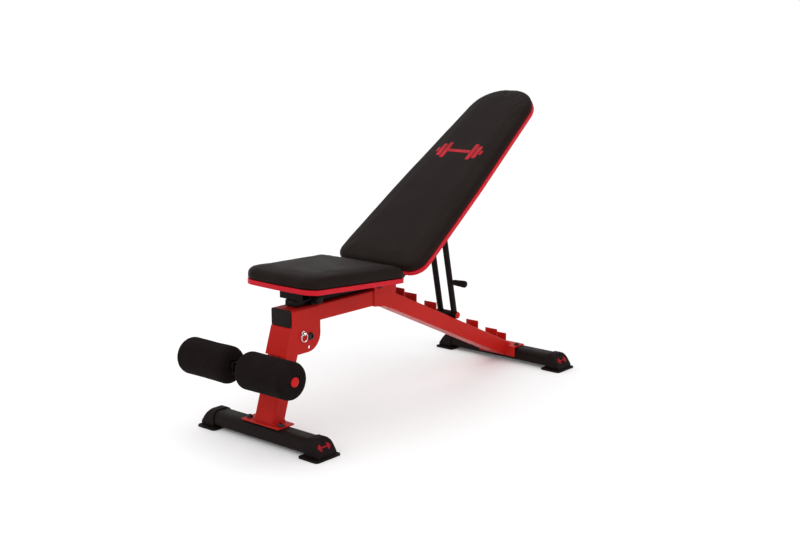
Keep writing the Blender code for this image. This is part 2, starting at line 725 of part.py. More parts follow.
def seat_riser(name, y0, y1, half, low, axis):
    """A short box tube across the bench between the seat tube and the seat board."""
    z0 = low + GAP
    t = 0.0025
    outline = [(y0, z0), (y1, z0), (y1, under_seat(y1) - GAP), (y0, under_seat(y0) - GAP)]
    hole = [(y0 + t, z0 + t), (y1 - t, z0 + t), (y1 - t, under_seat(y1) - GAP - t),
            (y0 + t, under_seat(y0) - GAP - t)]
    side_plate(name, outline, -half, half, BLACK_PAINT, axis, [hole])


def seat_arc_plate(axis):
    """A curved plate on the seat tube, with the slot that the clamp knob rides in."""
    reach = (SEAT_KNOB - SEAT_PIVOT).length
    knob = math.degrees(math.asin((SEAT_KNOB.z - SEAT_PIVOT.z) / reach))

    def band(inner, outer, low, high, count):
        turns = [math.radians(low + (high - low) * k / count) for k in range(count + 1)]
        far = [(SEAT_PIVOT.y - outer * math.cos(a), SEAT_PIVOT.z + outer * math.sin(a))
               for a in turns]
        near = [(SEAT_PIVOT.y - inner * math.cos(a), SEAT_PIVOT.z + inner * math.sin(a))
                for a in reversed(turns)]
        return far + near

    outline = band(reach - 0.011, reach + 0.011, -11.4, 4, 10)
    slot = band(reach - 0.0044, reach + 0.0044, knob - 11.2, knob + 1.2, 10)
    side_plate("seat_arc_plate", outline, 0.0186, 0.0226, BLACK_PAINT, axis, [slot])


def seat_lug():
    """The upright on the beam that the clamp knob screws through."""
    outline = rounded([(0.134, BEAM_TOP + GAP, 0), (0.166, BEAM_TOP + GAP, 0),
                       (0.162, SEAT_KNOB.z + 0.012, 0.010), (0.138, SEAT_KNOB.z + 0.012, 0.010)])
    lug = side_plate("seat_lug", outline, 0.0240, 0.0300, BLACK_PAINT, BENCH)
    hole_across(lug, "lug_hole", SEAT_KNOB, 0.0043, BENCH)


def seat_knob(axis):
    profile = [(0, 0.0480), (0.0070, 0.0477), (0.0105, 0.0465), (0.0125, 0.0440),
               (0.0130, 0.0400), (0.0125, 0.0335), (0.0090, 0.0312), (0.0090, 0.0303),
               (0.0040, 0.0303), (0.0040, 0.0192), (0, 0.0192)]
    matrix = Matrix.Translation(SEAT_KNOB) @ ALONG_X
    turned("seat_knob", profile, matrix, BLACK_PLASTIC, axis, 24)


def lofted(name, rings, matrix, look, parent):
    """A closed solid through outlines of equal point counts, listed upwards as (points, z)."""
    work = bmesh.new()
    loops = [[work.verts.new((x, y, z)) for x, y in points] for points, z in rings]
    for lower, upper in zip(loops, loops[1:]):
        for i, corner in enumerate(lower):
            work.faces.new((lower[i - 1], corner, upper[i], upper[i - 1]))
    work.faces.new(reversed(loops[0]))
    work.faces.new(loops[-1])
    bmesh.ops.recalc_face_normals(work, faces=work.faces)
    mesh = bpy.data.meshes.new(name)
    work.to_mesh(mesh)
    work.free()
    return smooth(add(name, mesh, matrix, look, parent), math.radians(50))


def cushion(name, outline_of, crown, base, base_thick, axes, axis):
    """A board with a red band round its edge, and the crowned pad on it, as three pieces."""
    band = 0.008
    middle = axes @ Matrix.Translation((0, 0, base + base_thick / 2))
    plate(name + "_trim", outline_of(0), base_thick, middle, RED_VINYL, axis, [outline_of(band)])
    plate(name + "_board", outline_of(band + GAP), base_thick - 0.0005, middle, BLACK_BOARD, axis)
    low = base + base_thick + GAP
    rings = [(outline_of(*inset), low + rise) for rise, *inset in crown]
    lofted(name + "_pad", rings, axes, VINYL, axis)


# ---------------------------------------------------------------- backrest
def back_corners(inset=0.0):
    """The backrest in its own plane: widest low down, and a half-round head."""
    i = inset
    low, high = BACK_LOW + i, BACK_HIGH - i
    half = [(0.1495 - i, low, max(0.042 - i, 0.012)), (0.1485 - i, 0.062, 0.20),
            (0.1400 - i, 0.230, 0.80), (0.1345 - i, 0.330, 0.80),
            (0.1005 - i * 0.93, high, 0.0985 - i)]
    return half + [(-x, y, r) for x, y, r in reversed(half)]


def back_outline(inset=0.0):
    step = math.radians(9)
    return rounded(back_corners(inset), step, arc_pieces(back_corners(), step))


def back_frame(axis):
    out = BACK_REAR - GAP - RAIL_DEPTH / 2
    for side in (-1, 1):
        x = side * RAIL_X
        start = BACK_AXES @ Vector((x, -0.013, out))
        end = BACK_AXES @ Vector((x, RAIL_HIGH, out))
        rail = tube(f"back_rail_{sided(side)}", start, end, RAIL_WIDTH, RAIL_DEPTH, 0.004,
                    BLACK_PAINT, axis, 0.002)
        combine(rail, rail_corner(f"rail_corner_{sided(side)}", x, axis))
        hole_across(rail, f"rail_hinge_hole_{sided(side)}", BACK_PIVOT, 0.0054, axis)
        hole_across(rail, f"rail_strut_hole_{sided(side)}", STRUT_PIVOT, 0.0044, axis)
    length = 2 * (RAIL_X - RAIL_WIDTH / 2 - GAP)
    outer = rectangle(0.025, 0.025, 0.003)
    inner = rectangle(0.021, 0.021, 0.001)
    turn = BACK_AXES @ Matrix.Translation((0, 0.520, BACK_REAR - GAP - 0.0125)) @ SIDEWAYS
    plate("back_crossbar", outer, length, turn, BLACK_PAINT, axis, [inner])
    cross_bolt("strut_bolt", STRUT_PIVOT, RAIL_X + RAIL_WIDTH / 2 + GAP, 0.0040, 0.0075, axis)


def rail_corner(name, x, axis):
    """What is trimmed off the lower front corner of a rail, below the hinge."""
    outline = [(-0.040, 0.004), (-0.0105, 0.004), (-0.001, -0.0185), (-0.001, -0.030),
               (-0.040, -0.030)]
    matrix = BACK_AXES @ Matrix.Translation((x, 0, 0)) @ SIDEWAYS
    return cutter(name, flat_mesh(name, outline, 0.04), matrix, axis)


# ---------------------------------------------------------------- strut
def strut(axis):
    """Two round arms on a foot bar: the ladder that drops into the rack."""
    upward = (STRUT_PIVOT - STRUT_FOOT).normalized()
    for side in (-1, 1):
        offset = Vector((side * ARM_X, 0, 0))
        top = STRUT_PIVOT + offset + upward * 0.008
        bottom = STRUT_FOOT + offset
        mesh = rod_mesh(f"strut_arm_{sided(side)}", ARM_RADIUS, (top - bottom).length, 24)
        arm = smooth(add(f"strut_arm_{sided(side)}", mesh, aim(bottom, top), BLACK_PAINT, axis))
        hole_across(arm, f"arm_hole_{sided(side)}", STRUT_PIVOT + offset, 0.0044, axis, 0.03)
        hole_across(arm, f"arm_cope_{sided(side)}", STRUT_FOOT + offset, FOOT_BAR_RADIUS + GAP,
                    axis, 0.03)
    bar = flat_mesh("strut_foot_bar", circle(0, 0, FOOT_BAR_RADIUS, 32), 2 * FOOT_BAR_HALF,
                    [circle(0, 0, FOOT_BAR_RADIUS - 0.0025, 32)])
    smooth(add("strut_foot_bar", bar, Matrix.Translation(STRUT_FOOT) @ ALONG_X, BLACK_PAINT, axis))
    for side in (-1, 1):
        turn = ALONG_X if side > 0 else Matrix.Rotation(math.pi, 4, "Z") @ ALONG_X
        profile = [(0, 0.0044), (0.0055, 0.0041), (0.0084, 0.0028), (0.0097, 0.0010),
                   (0.0097, GAP), (0, GAP)]
        start = Matrix.Translation(STRUT_FOOT) @ turn @ Matrix.Translation((0, 0, FOOT_BAR_HALF))
        turned(f"strut_cap_{sided(side)}", profile, start, RED_PLASTIC, axis, 24)
    strut_handle(axis, upward)


def strut_handle(axis, upward):
    """The tapered grip that stands out from one arm."""
    centre = STRUT_FOOT + upward * 0.103
    profile = [(0, 0.0490)] + arc(0.0055, 0.0445, 0.0045, 90, 0, 4) + [
        (0.0098, 0.036), (0.0085, 0.012), (0.0072, 0.0035), (0.0050, 0.0030),
        (0.0050, 0.0), (0, 0.0)]
    start = ARM_X + ARM_RADIUS + GAP
    turned("strut_handle", profile, Matrix.Translation(centre) @ ALONG_X
           @ Matrix.Translation((0, 0, start)), RUBBER, axis, 24)


# ---------------------------------------------------------------- assembly
def build_frame():
    front_beam()
    front_beam_plug()
    hinge_bracket()
    hinge_tower()
    rear_spine()
    for number, y in enumerate(TOOTH_YS, 1):
        rack_tooth(number, y)
    bar = foot("rear_foot", REAR_FOOT_Y, REAR_FOOT_HALF, BENCH)
    fasten_foot("rear", bar, rear_saddle(), 0.995, 0.0565, BENCH)
    cross_bolt("leg_pivot_bolt", LEG_PIVOT, PLATE_OUT + GAP, 0.0050, 0.0095, BENCH)
    cross_bolt("back_hinge_bolt", BACK_PIVOT, RAIL_X + RAIL_WIDTH / 2 + GAP, 0.0050, 0.0090, BENCH)
    cross_bolt("seat_hinge_bolt", SEAT_PIVOT, PLATE_OUT + GAP, 0.0050, 0.0085, BENCH)
    seat_lug()


def fasten_foot(name, bar, saddle, y, x, parent):
    """Two bolts that go down through a saddle plate into its foot tube."""
    for side in (-1, 1):
        centre = (side * x, y, FOOT_TOP)
        for item in (bar, saddle):
            hole_down(item, f"{item.name}_bolt_hole_{sided(side)}", centre, 0.0044, 0.016, parent)
        foot_bolt(f"{name}_bolt_{sided(side)}", side * x, y, SADDLE_TOP, parent)


def build_leg():
    axis = empty("leg_axis", LEG_AXES, BENCH)
    leg_tube(axis)
    leg_ears(axis)
    bar = foot("front_foot", 0, FRONT_FOOT_HALF, axis)
    fasten_foot("front", bar, front_saddle(axis), -0.004, 0.0555, axis)
    roller_holder(axis)
    roller_bar(axis)
    spin = Matrix.Translation((0, ROLLER_Y, ROLLER_Z))
    for side in (-1, 1):
        roller(side, empty(f"roller_axis_{sided(side)}", spin, axis))


def build_lock():
    slide = empty("lock_pin_axis", Matrix.Translation(LOCK_HOLE), BENCH)
    lock_pin(slide)
    lock_ring(empty("lock_ring_axis", Matrix.Translation(ring_hinge()), slide))


def build_seat():
    axis = empty("seat_axis", Matrix.Translation(SEAT_PIVOT), BENCH)
    seat_frame(axis)
    seat_arc_plate(axis)
    crown = [(0.0, 0.0025, 0.0), (0.003, 0.0, 0.0), (0.018, 0.0, 0.002), (0.026, 0.004, 0.010),
             (0.031, 0.011, 0.020), (0.0335, 0.022, 0.028), (0.0345, 0.042, 0.032)]
    cushion("seat", seat_outline, crown, 0.0, SEAT_BASE, SEAT_AXES, axis)
    seat_knob(empty("seat_knob_axis", Matrix.Translation(SEAT_KNOB), BENCH))


def build_back():
    axis = empty("back_axis", BACK_AXES, BENCH)
    back_frame(axis)
    crown = [(0.0, 0.0025), (0.003, 0.0), (0.012, 0.0), (0.018, 0.0035), (0.0225, 0.010),
             (0.0252, 0.022), (0.0270, 0.045)]
    cushion("back", back_outline, crown, BACK_REAR, BACK_BASE, BACK_AXES, axis)
    strut(empty("strut_axis", Matrix.Translation(STRUT_PIVOT), axis))


build_frame()
build_leg()
build_lock()
build_seat()
build_back()
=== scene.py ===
"""Decline sit-up bench: the visible model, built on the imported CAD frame.

Metres, in the CAD model's own axes: +Y towards the head end, +X towards the side with the
pull pin, +Z up. The pads and foam rollers are soft pieces that stand for their CAD solids.
Bolts, knob and grip get detailed pieces, and welds, plugs, screws, staples and prints are
added. The other CAD nodes are shown as they are, with rounded edges and full materials.
"""

import json
import math

import bmesh
import bpy
from mathutils import Matrix, Vector, noise
from mathutils.bvhtree import BVHTree
from mathutils.geometry import convex_hull_2d

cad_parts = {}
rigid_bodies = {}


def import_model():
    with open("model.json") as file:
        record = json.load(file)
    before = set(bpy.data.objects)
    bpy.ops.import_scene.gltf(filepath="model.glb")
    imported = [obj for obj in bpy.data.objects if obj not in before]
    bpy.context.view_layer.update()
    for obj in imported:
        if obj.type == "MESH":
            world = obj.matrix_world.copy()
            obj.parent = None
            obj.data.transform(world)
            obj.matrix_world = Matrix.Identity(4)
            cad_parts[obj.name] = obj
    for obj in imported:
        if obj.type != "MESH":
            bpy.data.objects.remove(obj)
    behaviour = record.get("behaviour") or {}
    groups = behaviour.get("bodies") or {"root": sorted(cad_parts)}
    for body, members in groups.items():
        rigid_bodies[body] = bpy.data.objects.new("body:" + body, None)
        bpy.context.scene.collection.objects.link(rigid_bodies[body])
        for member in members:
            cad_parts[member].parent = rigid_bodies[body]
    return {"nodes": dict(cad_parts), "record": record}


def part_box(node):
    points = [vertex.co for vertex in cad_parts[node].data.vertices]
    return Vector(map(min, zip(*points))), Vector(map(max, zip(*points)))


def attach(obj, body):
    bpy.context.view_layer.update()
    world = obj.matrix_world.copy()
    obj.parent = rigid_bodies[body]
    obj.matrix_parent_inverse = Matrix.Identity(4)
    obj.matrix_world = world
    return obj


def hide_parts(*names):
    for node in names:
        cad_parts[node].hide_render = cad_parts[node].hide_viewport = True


for leftover in list(bpy.data.objects):
    bpy.data.objects.remove(leftover, do_unlink=True)

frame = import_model()
NODES = frame["nodes"]
BODY_OF = {node: body for body, nodes in frame["record"]["behaviour"]["bodies"].items()
           for node in nodes}
SLOT_OF = {part["node"]: part["material_slot"] for part in frame["record"]["subparts"]}


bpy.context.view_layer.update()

# ---------------------------------------------------------------- axes of the tilted parts
BACK_TILT = math.radians(34.4)
SEAT_SLOPE = math.radians(-2.95)
SPINE_ANGLE = math.radians(24.7)
LEG_LEAN = math.radians(17.8)
CAP_SLOPE = math.radians(38)


def centre(node):
    low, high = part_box(node)
    return (low + high) / 2


BACK_AXES = Matrix.Translation(centre("back_hinge_bolt")) @ Matrix.Rotation(BACK_TILT, 4, "X")
SEAT_AXES = Matrix.Translation(centre("seat_hinge_bolt")) @ Matrix.Rotation(SEAT_SLOPE, 4, "X")
SPINE_AXES = Matrix.Translation(centre("rear_spine")) @ Matrix.Rotation(-SPINE_ANGLE, 4, "X")
LEG_AXES = Matrix.Translation(centre("leg_pivot_bolt")) @ Matrix.Rotation(-LEG_LEAN, 4, "X")
ALONG_X = Matrix.Rotation(math.radians(90), 4, "Y")
AGAINST_X = Matrix.Rotation(math.radians(-90), 4, "Y")


def clamped(value):
    """A value held between 0 and 1."""
    return min(1.0, max(0.0, value))


def local_box(node, axes):
    """A node's lowest and highest corners in turned axes."""
    inverse = axes.inverted()
    points = [inverse @ v.co for v in NODES[node].data.vertices]
    low = Vector([min(p[i] for p in points) for i in range(3)])
    high = Vector([max(p[i] for p in points) for i in range(3)])
    return low, high


# ---------------------------------------------------------------- node materials
class Look:
    """A procedural material, laid out in metres on the piece itself.

    Texture scales are features per metre, and distances and radii are in metres. span takes
    a value, the range it is read over, and where it isn't 0 to 1 the range it is turned into.
    """

    def __init__(self, name, colour, roughness, metallic=0.0, **direct):
        self.material = bpy.data.materials.new(name)
        self.material.use_nodes = True
        self.tree = self.material.node_tree
        self.shader = self.tree.nodes["Principled BSDF"]
        self.shader.inputs["Base Color"].default_value = (*colour, 1)
        self.shader.inputs["Roughness"].default_value = roughness
        self.shader.inputs["Metallic"].default_value = metallic
        for socket, value in direct.items():
            self.shader.inputs[socket.replace("_", " ")].default_value = value
        self.space = self.node("TexCoord").outputs["Object"]
        self.normal = None

    def node(self, kind, **settings):
        made = self.tree.nodes.new("ShaderNode" + kind)
        for key, value in settings.items():
            if key in made.inputs:
                made.inputs[key].default_value = value
            else:
                setattr(made, key, value)
        return made

    def join(self, source, target):
        self.tree.links.new(source, target)

    def stretched(self, scale):
        mapping = self.node("Mapping", Scale=scale)
        self.join(self.space, mapping.inputs["Vector"])
        return mapping.outputs["Vector"]

    def noise(self, scale, detail, space=None):
        made = self.node("TexNoise", Scale=scale, Detail=detail)
        self.join(space or self.space, made.inputs["Vector"])
        return made.outputs["Fac"]

    def cells(self, scale, feature="DISTANCE_TO_EDGE"):
        made = self.node("TexVoronoi", feature=feature, Scale=scale)
        self.join(self.space, made.inputs["Vector"])
        return made.outputs["Distance"]

    def waves(self, scale, axis, distortion):
        made = self.node("TexWave", bands_direction=axis, Scale=scale, Distortion=distortion)
        self.join(self.space, made.inputs["Vector"])
        return made.outputs["Fac"]

    def span(self, value, low, high, out_low=0.0, out_high=1.0):
        made = self.node("MapRange")
        self.join(value, made.inputs["Value"])
        for socket, number in (("From Min", low), ("From Max", high), ("To Min", out_low),
                               ("To Max", out_high)):
            made.inputs[socket].default_value = number
        return made.outputs["Result"]

    def maths(self, operation, a, b):
        made = self.node("Math", operation=operation)
        for socket, value in zip(made.inputs, (a, b)):
            self.join(value, socket)
        return made.outputs["Value"]

    def tint(self, factor, other):
        """Blends the base colour towards another where factor is high."""
        made = self.node("Mix", data_type="RGBA")
        share = made.inputs[0]
        colour_a, colour_b, result = made.inputs[6], made.inputs[7], made.outputs[2]
        self.join(factor, share)
        base = self.shader.inputs["Base Color"]
        if base.is_linked:
            self.join(base.links[0].from_socket, colour_a)
        else:
            colour_a.default_value = base.default_value
        colour_b.default_value = (*other, 1)
        self.join(result, base)

    def rough(self, value):
        self.join(value, self.shader.inputs["Roughness"])

    def bump(self, height, distance, strength):
        made = self.node("Bump", Strength=strength, Distance=distance)
        self.join(height, made.inputs["Height"])
        if self.normal:
            self.join(self.normal, made.inputs["Normal"])
        self.normal = made.outputs["Normal"]
        self.join(self.normal, self.shader.inputs["Normal"])

    def edges(self, radius):
        """0 on flat faces, towards 1 along edges."""
        soft = self.node("Bevel", samples=4, Radius=radius)
        hard = self.node("NewGeometry")
        dot = self.node("VectorMath", operation="DOT_PRODUCT")
        self.join(soft.outputs["Normal"], dot.inputs[0])
        self.join(hard.outputs["Normal"], dot.inputs[1])
        return self.span(dot.outputs["Value"], 0.985, 0.80)


def times(colour, share):
    """A colour made lighter or darker."""
    return tuple(min(1.0, c * share) for c in colour)


def painted(name, colour, roughness, worn, coat, gloss):
    """Powder coat: faint orange peel, drifting gloss, and edges rubbed a little lighter."""
    look = Look(name, colour, roughness, Coat_Weight=coat, Coat_Roughness=0.20,
                Specular_IOR_Level=gloss)
    look.tint(look.span(look.noise(7, 3), 0.35, 0.65), times(colour, 0.90))
    look.tint(look.span(look.noise(260, 2), 0.50, 0.75, 0, 0.5), times(colour, 1.10))
    rubbed = look.maths("MULTIPLY", look.edges(0.0011), look.span(look.noise(90, 4), 0.44, 0.62))
    look.tint(rubbed, worn)
    look.rough(look.span(look.noise(34, 4), 0.3, 0.7, roughness - 0.05, roughness + 0.07))
    look.bump(look.noise(520, 2), 0.00010, 0.5)
    return look.material


def vinyl(name, colour, roughness, cell, brown, gloss):
    """Grained vinyl: pebbled cells with fine creases, rougher in the grooves."""
    look = Look(name, colour, roughness, Specular_IOR_Level=gloss)
    pebbles = look.span(look.cells(1 / cell), 0.0, 0.16)
    look.tint(look.span(look.noise(5, 4), 0.38, 0.64), brown)
    # painted shade: the colour is darkened in the grooves between the pebbles
    look.tint(look.span(pebbles, 1.0, 0.0, 0.0, 0.55), times(colour, 0.55))
    polish = look.span(look.noise(18, 4), 0.3, 0.7, roughness - 0.03, roughness + 0.04)
    look.rough(look.maths("ADD", polish, look.span(pebbles, 1.0, 0.0, 0.0, 0.10)))
    look.bump(look.noise(26, 2), 0.0006, 0.25)
    look.bump(pebbles, 0.00016, 0.55)
    look.bump(look.noise(1900, 2), 0.00006, 0.5)
    return look.material


def foam(name, colour):
    """Closed-cell foam: matt skin with fine open pores and a few larger dimples."""
    look = Look(name, colour, 0.86, Specular_IOR_Level=0.04)
    pores = look.span(look.cells(1050, "F1"), 0.05, 0.55)
    look.tint(look.span(look.noise(22, 5), 0.38, 0.66), times(colour, 1.25))
    # painted shade: the colour is darkened inside the pores
    look.tint(look.span(pores, 1.0, 0.0, 0.0, 0.6), times(colour, 0.45))
    look.rough(look.span(look.noise(60, 3), 0.3, 0.7, 0.76, 0.94))
    look.bump(look.noise(70, 3), 0.0007, 0.3)
    look.bump(pores, 0.00035, 0.6)
    return look.material


def moulded(name, colour, roughness, grain, depth, **direct):
    """Moulded rubber or plastic: spark-eroded grain and slightly uneven gloss."""
    look = Look(name, colour, roughness, **direct)
    look.tint(look.span(look.noise(16, 4), 0.36, 0.66), times(colour, 1.45))
    look.tint(look.span(look.noise(grain, 2), 0.52, 0.80, 0.0, 0.6), times(colour, 0.7))
    look.rough(look.span(look.noise(40, 3), 0.3, 0.7, roughness - 0.07, roughness + 0.09))
    look.bump(look.noise(grain, 3), depth, 0.6)
    return look.material


def metal(name, colour, roughness, metallic, scuff):
    """Plated or blackened steel: drawn scratches and lighter scuffs."""
    look = Look(name, colour, roughness, metallic)
    brushed = look.noise(420, 4, look.stretched((0.18, 1, 1)))
    look.tint(look.span(look.noise(130, 4), 0.45, 0.75, 0.0, 0.7), scuff)
    look.rough(look.span(brushed, 0.3, 0.7, max(roughness - 0.05, 0.03), roughness + 0.12))
    look.bump(brushed, 0.00003, 0.6)
    return look.material


def backing(name, colour):
    """The black woven cloth glued under the boards."""
    look = Look(name, colour, 0.92, Specular_IOR_Level=0.12)
    across = look.waves(330, "X", 0.6)
    along = look.waves(330, "Y", 0.6)
    weave = look.maths("MAXIMUM", look.span(across, 0.2, 1.0), look.span(along, 0.35, 1.0))
    look.tint(look.span(look.noise(20, 4), 0.35, 0.68), times(colour, 1.7))
    # painted shade: the colour is darkened in the gaps between the threads
    look.tint(look.span(weave, 0.6, 0.0, 0.0, 0.8), times(colour, 0.4))
    look.rough(look.span(look.noise(90, 3), 0.3, 0.7, 0.84, 0.98))
    look.bump(weave, 0.0003, 0.6)
    return look.material


LOOKS = {
    "red_paint": painted("red_paint", (0.455, 0.0125, 0.0085), 0.34, (0.60, 0.048, 0.036),
                         0.02, 0.075),
    "black_paint": painted("black_paint", (0.0092, 0.0052, 0.0044), 0.42,
                           (0.034, 0.027, 0.024), 0.0, 0.07),
    "black_steel": metal("black_steel", (0.022, 0.021, 0.021), 0.36, 0.7, (0.060, 0.057, 0.055)),
    "chrome": metal("chrome", (0.78, 0.78, 0.79), 0.10, 1.0, (0.60, 0.60, 0.61)),
    "rubber": moulded("rubber", (0.0082, 0.0050, 0.0050), 0.58, 520, 0.00014,
                      Specular_IOR_Level=0.06),
    "foam": foam("foam", (0.0080, 0.0054, 0.0050)),
    "vinyl": vinyl("vinyl", (0.0116, 0.0070, 0.0062), 0.42, 0.0016, (0.0138, 0.0084, 0.0072),
                   0.045),
    "red_vinyl": vinyl("red_vinyl", (0.575, 0.0080, 0.0200), 0.42, 0.0013,
                       (0.51, 0.0070, 0.0170), 0.12),
    "red_plastic": moulded("red_plastic", (0.40, 0.0070, 0.0080), 0.38, 700, 0.00005,
                           Specular_IOR_Level=0.10),
    "black_plastic": moulded("black_plastic", (0.0090, 0.0064, 0.0060), 0.50, 620, 0.00010,
                             Specular_IOR_Level=0.10),
    "black_board": backing("black_board", (0.014, 0.012, 0.011)),
}
PRINT = moulded("red_print", (0.31, 0.0060, 0.0140), 0.42, 900, 0.00004,
                Specular_IOR_Level=0.09)


# ---------------------------------------------------------------- making pieces
def add_piece(name, mesh, slot, body, stands_for=(), look=None):
    """A finished mesh becomes a piece that rides on a body and takes its finish from a slot."""
    mesh.name = name
    mesh.materials.clear()
    mesh.materials.append(look or LOOKS[slot])
    piece = bpy.data.objects.new(name, mesh)
    bpy.context.scene.collection.objects.link(piece)
    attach(piece, body)
    if stands_for:
        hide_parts(*stands_for)
    return piece


def finished(work, smooth_angle=35):
    """The mesh of a bmesh, with its normals outwards and its edges smooth below an angle."""
    bmesh.ops.recalc_face_normals(work, faces=work.faces)
    mesh = bpy.data.meshes.new("shape")
    work.to_mesh(mesh)
    work.free()
    mesh.shade_smooth()
    mesh.set_sharp_from_angle(angle=math.radians(smooth_angle))
    return mesh


def hexagon(angle):
    """How far a hexagon of corner radius 1 reaches at an angle."""
    sixth = math.pi / 3
    return math.cos(sixth / 2) / math.cos(angle % sixth - sixth / 2)


def fluted(angle, count=14, depth=0.085):
    """The same for a round knob with grooves."""
    return 1 - depth * (0.5 + 0.5 * math.cos(count * angle)) ** 2


SECTIONS = {"round": lambda angle: 1.0, "hex": hexagon, "fluted": fluted}


def turn(work, profile, matrix, sides=48, joined=False):
    """Adds a turned solid to work; where it is joined, its last row meets its first.

    Profile rows are (radius, height, section).
    """
    rings = []
    for radius, height, section in profile:
        if not radius:
            rings.append([work.verts.new(matrix @ Vector((0, 0, height)))])
            continue
        ring = []
        for k in range(sides):
            angle = 2 * math.pi * k / sides
            reach = radius * SECTIONS[section](angle)
            point = Vector((reach * math.cos(angle), reach * math.sin(angle), height))
            ring.append(work.verts.new(matrix @ point))
        rings.append(ring)
    for one, two in zip(rings, rings[1:] + (rings[:1] if joined else [])):
        for k in range(sides):
            after = (k + 1) % sides
            if len(one) == 1:
                work.faces.new((one[0], two[after], two[k]))
            elif len(two) == 1:
                work.faces.new((one[k], one[after], two[0]))
            else:
                work.faces.new((one[k], one[after], two[after], two[k]))


def rounded(rows):
    """(radius, height) rows as round rows of a profile."""
    return [(radius, height, "round") for radius, height in rows]


def even_steps(points, step, closed):
    """Points at equal steps along a polyline."""
    points = list(points) + ([points[0]] if closed else [])
    spans = [(b - a).length for a, b in zip(points, points[1:])]
    count = max(2, round(sum(spans) / step))
    found, done, i = [], 0.0, 0
    for k in range(count + (0 if closed else 1)):
        wanted = sum(spans) * k / count
        while i < len(spans) - 1 and done + spans[i] < wanted:
            done += spans[i]
            i += 1
        found.append(points[i].lerp(points[i + 1], (wanted - done) / spans[i]))
    return found


def sweep(work, points, radius_at, closed=False, sides=8):
    """Adds a round bead along points to work; radius_at(number) is its radius there."""
    rings = []
    side = None
    for k, here in enumerate(points):
        before = points[k - 1] if k or closed else here
        after = points[(k + 1) % len(points)] if k < len(points) - 1 or closed else here
        along = (after - before).normalized()
        if side is None:
            side = along.orthogonal().normalized()
        side = (side - along * side.dot(along)).normalized()
        up = along.cross(side)
        ring = []
        for j in range(sides):
            angle = 2 * math.pi * j / sides
            offset = side * math.cos(angle) + up * math.sin(angle)
            ring.append(work.verts.new(here + offset * radius_at(k)))
        rings.append(ring)
    for one, two in zip(rings, rings[1:]):
        for j in range(sides):
            work.faces.new((one[j - 1], one[j], two[j], two[j - 1]))
    if closed:
        first, last = rings[0], rings[-1]
        shift = min(range(sides), key=lambda s: (first[s].co - last[0].co).length)
        for j in range(sides):
            work.faces.new((last[j - 1], last[j], first[(j + shift) % sides],
                            first[(j - 1 + shift) % sides]))
    else:
        work.faces.new(rings[0])
        work.faces.new(rings[-1])


# ---------------------------------------------------------------- shown CAD nodes
SAME_POINT = 0.000002


def soften(node, width):
    """Rounds a sheet or tube node's hard edges with modifiers; its points and faces stay."""
    item = NODES[node]
    normals = item.data.attributes.get("custom_normal")
    if normals:
        item.data.attributes.remove(normals)
    item.data.shade_smooth()
    weld = item.modifiers.new("weld", "WELD")
    weld.merge_threshold = SAME_POINT
    edge = item.modifiers.new("edges", "BEVEL")
    edge.width = width
    edge.segments = 3
    edge.limit_method = "ANGLE"
    edge.angle_limit = math.radians(40)
    edge.use_clamp_overlap = True
    even = item.modifiers.new("even", "WEIGHTED_NORMAL")
    even.keep_sharp = True


for node, item in NODES.items():
    item.data.materials.clear()
    item.data.materials.append(LOOKS[SLOT_OF[node]])

SOFT_EDGES = {
    "front_beam": 0.0007, "hinge_bracket": 0.0009, "hinge_tower": 0.0009, "rear_spine": 0.0006,
    "rear_saddle": 0.0009, "front_saddle": 0.0009, "leg_tube": 0.0006, "leg_ear_left": 0.0006,
    "leg_ear_right": 0.0006, "front_foot_tube": 0.0005, "rear_foot_tube": 0.0005,
    "seat_tube": 0.0005, "seat_front_riser": 0.0006, "seat_rear_riser": 0.0006,
    "seat_arc_plate": 0.0005, "seat_lug": 0.0008, "roller_holder": 0.0005,
    "back_rail_left": 0.0005, "back_rail_right": 0.0005, "back_crossbar": 0.0005,
    "seat_trim": 0.0028, "back_trim": 0.0028, "seat_board": 0.0006, "back_board": 0.0006,
}
for node, width in SOFT_EDGES.items():
    soften(node, width)


# ---------------------------------------------------------------- soft pieces
VOXEL = 0.005
COVER_STIFFNESS = 22
AIR_PRESSURE = 4.0
CLOTH_FRAMES = 20
SWELL_CAP = 0.0042
SWELL_KEPT = 0.35
SLACK = 0.0010
GLUED_HEIGHT = 0.0035
CLEAR_OF_BOARD = 0.0002


def welded_copy(node):
    """A node's mesh as one closed skin."""
    work = bmesh.new()
    work.from_mesh(NODES[node].data)
    bmesh.ops.remove_doubles(work, verts=work.verts, dist=SAME_POINT)
    bmesh.ops.recalc_face_normals(work, faces=work.faces)
    mesh = bpy.data.meshes.new("copy")
    work.to_mesh(mesh)
    work.free()
    return mesh


def remeshed(mesh):
    """The skin drawn again in even squares."""
    item = bpy.data.objects.new("skin", mesh)
    bpy.context.scene.collection.objects.link(item)
    step = item.modifiers.new("even", "REMESH")
    step.mode = "VOXEL"
    step.voxel_size = VOXEL
    relax = item.modifiers.new("relax", "CORRECTIVE_SMOOTH")
    relax.iterations = 3
    relax.rest_source = "ORCO"
    relax.use_only_smooth = True
    apply_modifiers(item)
    return item


def apply_modifiers(item):
    """Bakes an item's modifiers into its mesh."""
    evaluated = item.evaluated_get(bpy.context.evaluated_depsgraph_get())
    mesh = bpy.data.meshes.new_from_object(evaluated)
    item.modifiers.clear()
    item.data = mesh


